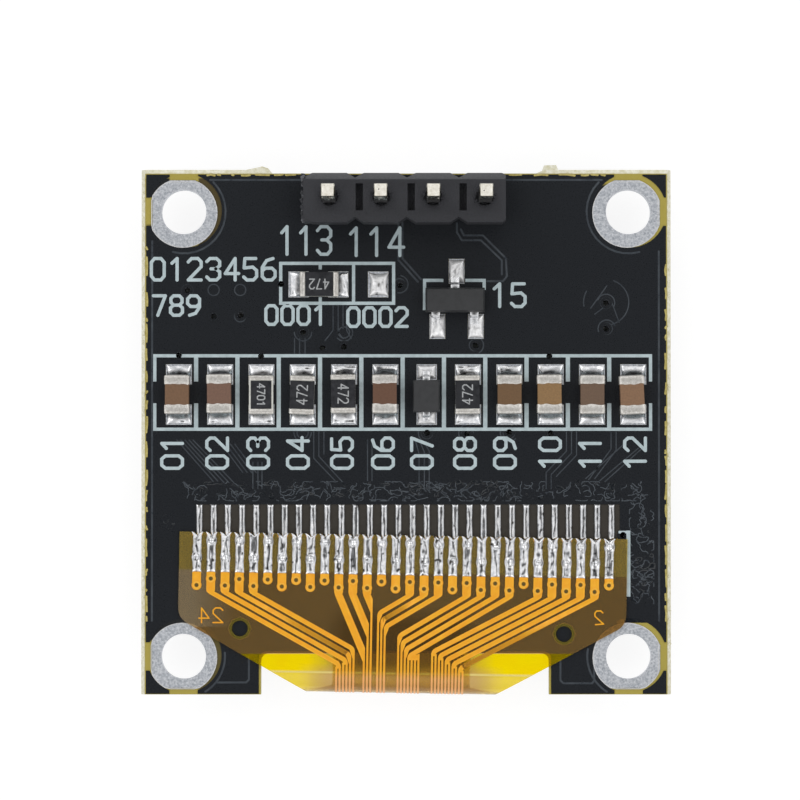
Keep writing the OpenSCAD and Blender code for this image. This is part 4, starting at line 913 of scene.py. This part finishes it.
# Copper edges that show through the mask
ringPlace = 10.96
wideEdges = [
    [(-12.52, 9.5), (-12.52, -9.2)], [(12.46, 9.0), (12.46, -9.2)], [(-9.66, 12.53), (-5.2, 12.53)],
    [(4.92, 12.53), (9.65, 12.53)],
    arcPath(-ringPlace, ringPlace, 2.06, -105, 45), arcPath(ringPlace, ringPlace, 2.06, 135, 285),
    arcPath(-ringPlace, -ringPlace, 2.04, -58, 5), arcPath(ringPlace, -ringPlace, 2.04, 170, 238),
    [(-7.74, -10.6), (-7.74, -12.1), (-7.88, -12.24), (-9.32, -12.24)],
    [(7.6, -10.7), (7.6, -12.14), (7.74, -12.28), (9.16, -12.28), (9.26, -12.14), (9.26, -10.75)],
    [(-0.18, 10.43), (-0.18, 8.66), (0.73, 7.63)], [(-0.38, 10.43), (-0.38, 8.58), (0.58, 7.5)],
    [(2.7, 10.09), (2.85, 9.79), (3.79, 9.79), (4.92, 8.66), (4.97, 7.77), (4.77, 7.53), (3.99, 7.53)],
    [(2.51, 10.38), (2.51, 9.94), (2.75, 9.55), (3.69, 9.55), (4.72, 8.56), (4.72, 7.87)],
]
fineEdges = [
    [(-3.6, 6.39), (-3.6, 5.1), (-4.0, 4.6)], [(-3.35, 6.39), (-3.35, 5.0), (-3.1, 4.7)],
    [(-3.11, 6.39), (-3.11, 5.2)], [(-2.93, 6.39), (-2.93, 5.1), (-2.7, 4.7)],
    [(-5.5, 4.7), (-5.5, 3.95)], [(-5.25, 4.7), (-5.25, 3.95)], [(-4.98, 4.7), (-4.98, 3.95)],
    [(0.65, -0.3), (0.9, -0.9), (0.9, -2.8)], [(0.85, -0.35), (1.14, -0.85), (1.14, -2.8)],
    [(0.45, -0.3), (0.64, -1.0), (0.64, -2.8)], [(-4.55, 0.1), (-4.55, -1.2), (-3.5, -2.3)],
    [(-4.3, 0.1), (-4.3, -1.1), (-3.15, -2.35)], [(-4.05, 0.1), (-4.05, -1.0)],
    [(-1.9, -0.3), (-1.9, -2.3)], [(-1.68, -0.3), (-1.68, -2.3)], [(-7.55, -1.4), (-7.55, -2.7)],
    [(-7.3, -1.4), (-7.3, -2.7)], [(-7.1, -1.4), (-7.1, -2.7)],
    [(7.9, 0.1), (7.9, -0.85), (6.9, -1.9), (6.9, -2.7)],
    [(8.15, 0.1), (8.15, -0.95), (7.15, -2.0), (7.15, -2.7)],
    [(8.4, 0.1), (8.4, -1.05), (7.4, -2.1)], [(10.1, 0.1), (10.1, -0.75), (9.0, -2.25)],
    [(10.35, 0.1), (10.35, -0.8), (9.3, -2.2)], [(11.45, -0.7), (9.55, -2.3)], [(11.7, -0.65), (9.8, -2.35)],
    [(10.85, -0.4), (8.85, -2.2)], arcPath(9.85, 6.49, 1.13, -75, 70), arcPath(9.85, 6.49, 1.1, 150, 190, 5),
    [(9.1, 6.2), (9.9, 7.3)], [(9.3, 5.9), (9.7, 6.2)], [(10.1, 6.6), (10.5, 5.5)],
]
fineEdges += [[(-11.3 + 0.2 * i, -0.3), (-9.45 + 0.24 * i, -2.4)] for i in range(5)]
fineEdges += [[(-9.1 + 0.22 * i, -0.5), (-8.05 + 0.22 * i, -1.9)] for i in range(4)]
# Vias under the mask; those past the first four also have half of the ring that clears their plane
tentedVias = [(-10.79, 7.08), (-9.49, 7.1), (-8.18, 7.1), (-8.18, 5.8), (-5.08, 5.01), (-3.06, 5.0),
              (-0.33, 7.38), (3.39, 4.37), (9.86, 6.46), (9.89, 5.19), (1.03, 0.04), (3.02, 0.04),
              (5.07, 0.04), (-5.1, 0.06)]
tented = {"ring": 0.28, "clearance": 0.43, "plain": 4}
for i, (x, y) in enumerate(tentedVias):
    fineEdges.append(arcPath(x, y, tented["ring"]))
    if i >= tented["plain"]:
        fineEdges.append(arcPath(x, y, tented["clearance"], 20 + 40 * i, 200 + 40 * i, 9))
for name, paths, width in (("mask_wide_edges", wideEdges, 0.1), ("mask_fine_edges", fineEdges, 0.055)):
    addLines(name, paths, "maskEdge", width=width, height=0.004, level=2.749)

# Flux residue: crumpled sheets with ridges, each from one corner to the other, and its seed
residue = {"step": 0.045, "level": 2.725, "thin": 0.01, "ridge": 0.034, "scale": 0.8, "fewestCuts": 4,
           "bend": 1.1, "crease": 11, "fineCrease": 13}
residuePatches = [((-12.2, -3.4), (11.9, -2.1), 0.0), ((10.75, -9.3), (12.35, -2.9), 4.0),
                  ((-12.3, -7.2), (-11.3, -3.3), 8.0)]


def crumpled(seed):
    def heightAt(u, v, low, high):
        x, y = low[0] + u * (high[0] - low[0]), low[1] + v * (high[1] - low[1])
        spot = Vector((x * residue["scale"], y * residue["scale"] * 1.2, seed))
        bend = noise.noise(spot * 2.4) * residue["bend"]
        ridge = max(0, 1 - residue["crease"] * abs(noise.noise(spot + Vector((bend, bend, 0)))))
        ridge = max(ridge, 1 - residue["fineCrease"] * abs(noise.noise(spot * 2.1 + Vector((bend, 0, 5)))))
        fade = min(1, 8 * u * (1 - u) + 0.2) * min(1, 5 * v * (1 - v))
        patchy = max(0, min(1, 1.6 * noise.noise(spot * 0.8 + Vector((9, 0, 0))) + 0.85))
        return x, y, residue["thin"] + residue["ridge"] * ridge * fade * patchy, 0
    return heightAt


def makeResidue():
    bm = newPuddles()
    for low, high, seed in residuePatches:
        cuts = [max(int((high[i] - low[i]) / residue["step"]), residue["fewestCuts"]) for i in range(2)]
        addPuddle(bm, low, high, residue["level"], cuts, crumpled(seed))
    addPiece("solder_residue", bm, "residue", sharpAngle=80)


makeResidue()

# Painted highlights: thin pale wavy lines along the ridges of the residue
waves = {
    "residue_waves": dict(count=170, seed=11, low=(-11.0, -3.3), high=(11.6, -2.35), width=0.04),
    "residue_curls": dict(count=46, seed=12, low=(11.0, -8.6), high=(12.2, -3.0), width=0.045),
}
waveShape = {"steps": (5, 12), "turn": 0.6, "stepX": 0.09, "stepY": 0.07, "height": 0.005, "level": 2.75}


def makeWaves(name, count, seed, low, high, width):
    random.seed(seed)
    paths = []
    for i in range(count):
        x, y = random.uniform(low[0], high[0]), random.uniform(low[1], high[1])
        heading = random.uniform(0, 2 * math.pi)
        path = [(x, y)]
        for step in range(random.randint(*waveShape["steps"])):
            heading += random.gauss(0, waveShape["turn"])
            x = min(max(x + waveShape["stepX"] * math.cos(heading), low[0]), high[0])
            y = min(max(y + waveShape["stepY"] * math.sin(heading), low[1]), high[1])
            path.append((x, y))
        paths.append(path)
    addLines(name, paths, "wave", width=width, height=waveShape["height"],
             level=waveShape["level"])


for name, settings in waves.items():
    makeWaves(name, **settings)

# Where the mask has chipped away along the board's snapped edges: each run's direction, the edge's
# place across it, and where it starts and ends
nibble = {"seed": 21, "length": (0.05, 0.9), "gap": (0.1, 0.9), "drift": 0.03,
          "runs": (("up", -12.79, -9.2, 9.2), ("up", 12.8, -9.2, 9.2), ("along", 12.77, -9.8, -5.3),
                   ("along", 12.77, 5.1, 9.8))}


def makeNibbles():
    random.seed(nibble["seed"])
    drift = nibble["drift"]
    paths = []
    for direction, place, start, end in nibble["runs"]:
        at = start
        while at < end:
            length = random.uniform(*nibble["length"])
            path = []
            for share in (0, 0.5, 1):
                across, along = place + random.uniform(-drift, drift), min(at + length * share, end)
                path.append((across, along) if direction == "up" else (along, across))
            paths.append(path)
            at += length + random.uniform(*nibble["gap"])
    addLines("edge_nibbles", paths, "bareEdge", width=0.1, height=0.003, level=2.75)


makeNibbles()

# Painted highlights: bright lines along the rims of the plated rings, which have a flat along each edge of
# the board
rim = {"ringRadius": 1.72, "radius": 1.7, "flat": 1.53, "width": 0.04, "height": 0.008, "sunk": 0.002}


def makeRimHighlights():
    paths = []
    for i in range(1, 5):
        low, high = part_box(f"mounting_ring_{i}")
        sides = [math.copysign(1, (low[axis] + high[axis]) / 2) for axis in range(2)]
        middle = [(low if side > 0 else high)[axis] / mm + side * rim["ringRadius"]
                  for axis, side in enumerate(sides)]
        path = []
        for point in arcPath(0, 0, rim["radius"], steps=36):
            reach = [side * min(side * value, rim["flat"]) for side, value in zip(sides, point)]
            path.append((middle[0] + reach[0], middle[1] + reach[1]))
        paths.append(path)
    addLines("ring_rim_highlights", paths, "litSolder", width=rim["width"], height=rim["height"],
             level=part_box("mounting_ring_1")[1].z / mm - rim["sunk"])


makeRimHighlights()
print("mask edges and residue made")

# Floor, light and camera, in metres
studio = {
    "floorSize": 6.0,
    "floorGap": 0.00002,  # keeps the floor clear of the polarizer that lies on it
    "floorGlow": 0.86,
    "floorSeen": 0.2,
    "floorPlain": 0.8,
    "lampDistance": 0.55,
    "lampSize": 0.4,
    "lampPower": 0.45,
    "lampShares": (1.0, 1.15, 1.0, 0.85),
    "lampHeight": 0.35,
    # How bright the room is from the horizon, 0, to straight up, 1
    "sky": ((0.0, 0.45), (0.5, 0.7), (0.75, 0.95), (0.93, 0.95), (0.975, 0.06), (0.999, 0.04)),
}
# Where the camera stands over the board's back face, what it looks at there, and its lens
view = {"x": 0.04 * mm, "y": -5.2 * mm, "above": 0.3, "aimX": -0.3 * mm, "aimY": 1.67 * mm, "lens": 274,
        "sensor": 36, "nearest": 0.01}


def makeStage():
    bm = bmesh.new()
    bmesh.ops.create_grid(bm, x_segments=1, y_segments=1, size=studio["floorSize"] / 2,
                          matrix=Matrix.Translation((0, 0, -studio["floorGap"])))
    mesh = bpy.data.meshes.new("floor")
    bm.to_mesh(mesh)
    bm.free()
    floor = bpy.data.objects.new("floor", mesh)
    bpy.context.scene.collection.objects.link(floor)
    material = bpy.data.materials.new("floorWhite")
    material.use_nodes = True
    tree = material.node_tree
    tree.nodes.clear()
    out = addNode(tree, "ShaderNodeOutputMaterial")
    mix = addNode(tree, "ShaderNodeMixShader")
    both = addNode(tree, "ShaderNodeAddShader")
    seen = addNode(tree, "ShaderNodeBsdfDiffuse", {"Color": (*[studio["floorSeen"]] * 3, 1)})
    plain = addNode(tree, "ShaderNodeBsdfDiffuse", {"Color": (*[studio["floorPlain"]] * 3, 1)})
    glow = addNode(tree, "ShaderNodeEmission", {"Color": (1, 1, 1, 1), "Strength": studio["floorGlow"]})
    path = addNode(tree, "ShaderNodeLightPath")
    direct = calc(tree, "MAXIMUM", path.outputs["Is Camera Ray"], path.outputs["Is Glossy Ray"])
    tree.links.new(calc(tree, "MAXIMUM", direct, path.outputs["Is Transmission Ray"]), mix.inputs[0])
    tree.links.new(plain.outputs[0], mix.inputs[1])
    tree.links.new(both.outputs[0], mix.inputs[2])
    tree.links.new(seen.outputs[0], both.inputs[0])
    tree.links.new(glow.outputs[0], both.inputs[1])
    tree.links.new(mix.outputs[0], out.inputs["Surface"])
    mesh.materials.append(material)


def makeWorld():
    world = bpy.data.worlds.new("studio")
    bpy.context.scene.world = world
    world.use_nodes = True
    tree = world.node_tree
    tree.nodes.clear()
    out = addNode(tree, "ShaderNodeOutputWorld")
    place = addNode(tree, "ShaderNodeTexCoord")
    split = addNode(tree, "ShaderNodeSeparateXYZ")
    sky = addNode(tree, "ShaderNodeValToRGB")
    for height, glow in studio["sky"]:
        stop = sky.color_ramp.elements.new(height)
        stop.color = (glow, glow, glow, 1)
    sky.color_ramp.elements.remove(sky.color_ramp.elements[0])
    sky.color_ramp.elements.remove(sky.color_ramp.elements[-1])
    soft = addNode(tree, "ShaderNodeBackground")
    white = addNode(tree, "ShaderNodeBackground", {"Color": (1, 1, 1, 1), "Strength": 1.0})
    mix = addNode(tree, "ShaderNodeMixShader")
    path = addNode(tree, "ShaderNodeLightPath")
    tree.links.new(place.outputs["Generated"], split.inputs[0])
    tree.links.new(split.outputs["Z"], sky.inputs["Fac"])
    tree.links.new(sky.outputs["Color"], soft.inputs["Color"])
    tree.links.new(path.outputs["Is Camera Ray"], mix.inputs[0])
    tree.links.new(soft.outputs[0], mix.inputs[1])
    tree.links.new(white.outputs[0], mix.inputs[2])
    tree.links.new(mix.outputs[0], out.inputs["Surface"])


def makeLamps():
    for i, share in enumerate(studio["lampShares"]):
        turn = math.radians(45 + 90 * i)
        lamp = bpy.data.lights.new(f"softbox{i + 1}", "AREA")
        lamp.shape = "SQUARE"
        lamp.size = studio["lampSize"]
        lamp.energy = studio["lampPower"] * share
        holder = bpy.data.objects.new(lamp.name, lamp)
        bpy.context.scene.collection.objects.link(holder)
        away = studio["lampDistance"]
        holder.location = (away * math.cos(turn), away * math.sin(turn), studio["lampHeight"])
        holder.rotation_euler = (-holder.location).to_track_quat("-Z", "Y").to_euler()


def makeCamera():
    data = bpy.data.cameras.new("camera")
    data.lens = view["lens"]
    data.sensor_width = view["sensor"]
    data.clip_start = view["nearest"]
    camera = bpy.data.objects.new("camera", data)
    bpy.context.scene.collection.objects.link(camera)
    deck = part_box("solder_mask_back")[1].z
    camera.location = (view["x"], view["y"], deck + view["above"])
    back = (camera.location - Vector((view["aimX"], view["aimY"], deck))).normalized()
    right = Vector((0, 1, 0)).cross(back).normalized()
    camera.rotation_euler = Matrix((right, back.cross(right), back)).transposed().to_euler()
    bpy.context.scene.camera = camera


makeStage()
makeWorld()
makeLamps()
makeCamera()
bpy.context.scene.view_settings.view_transform = "Standard"
print("stage, lamps and camera placed")
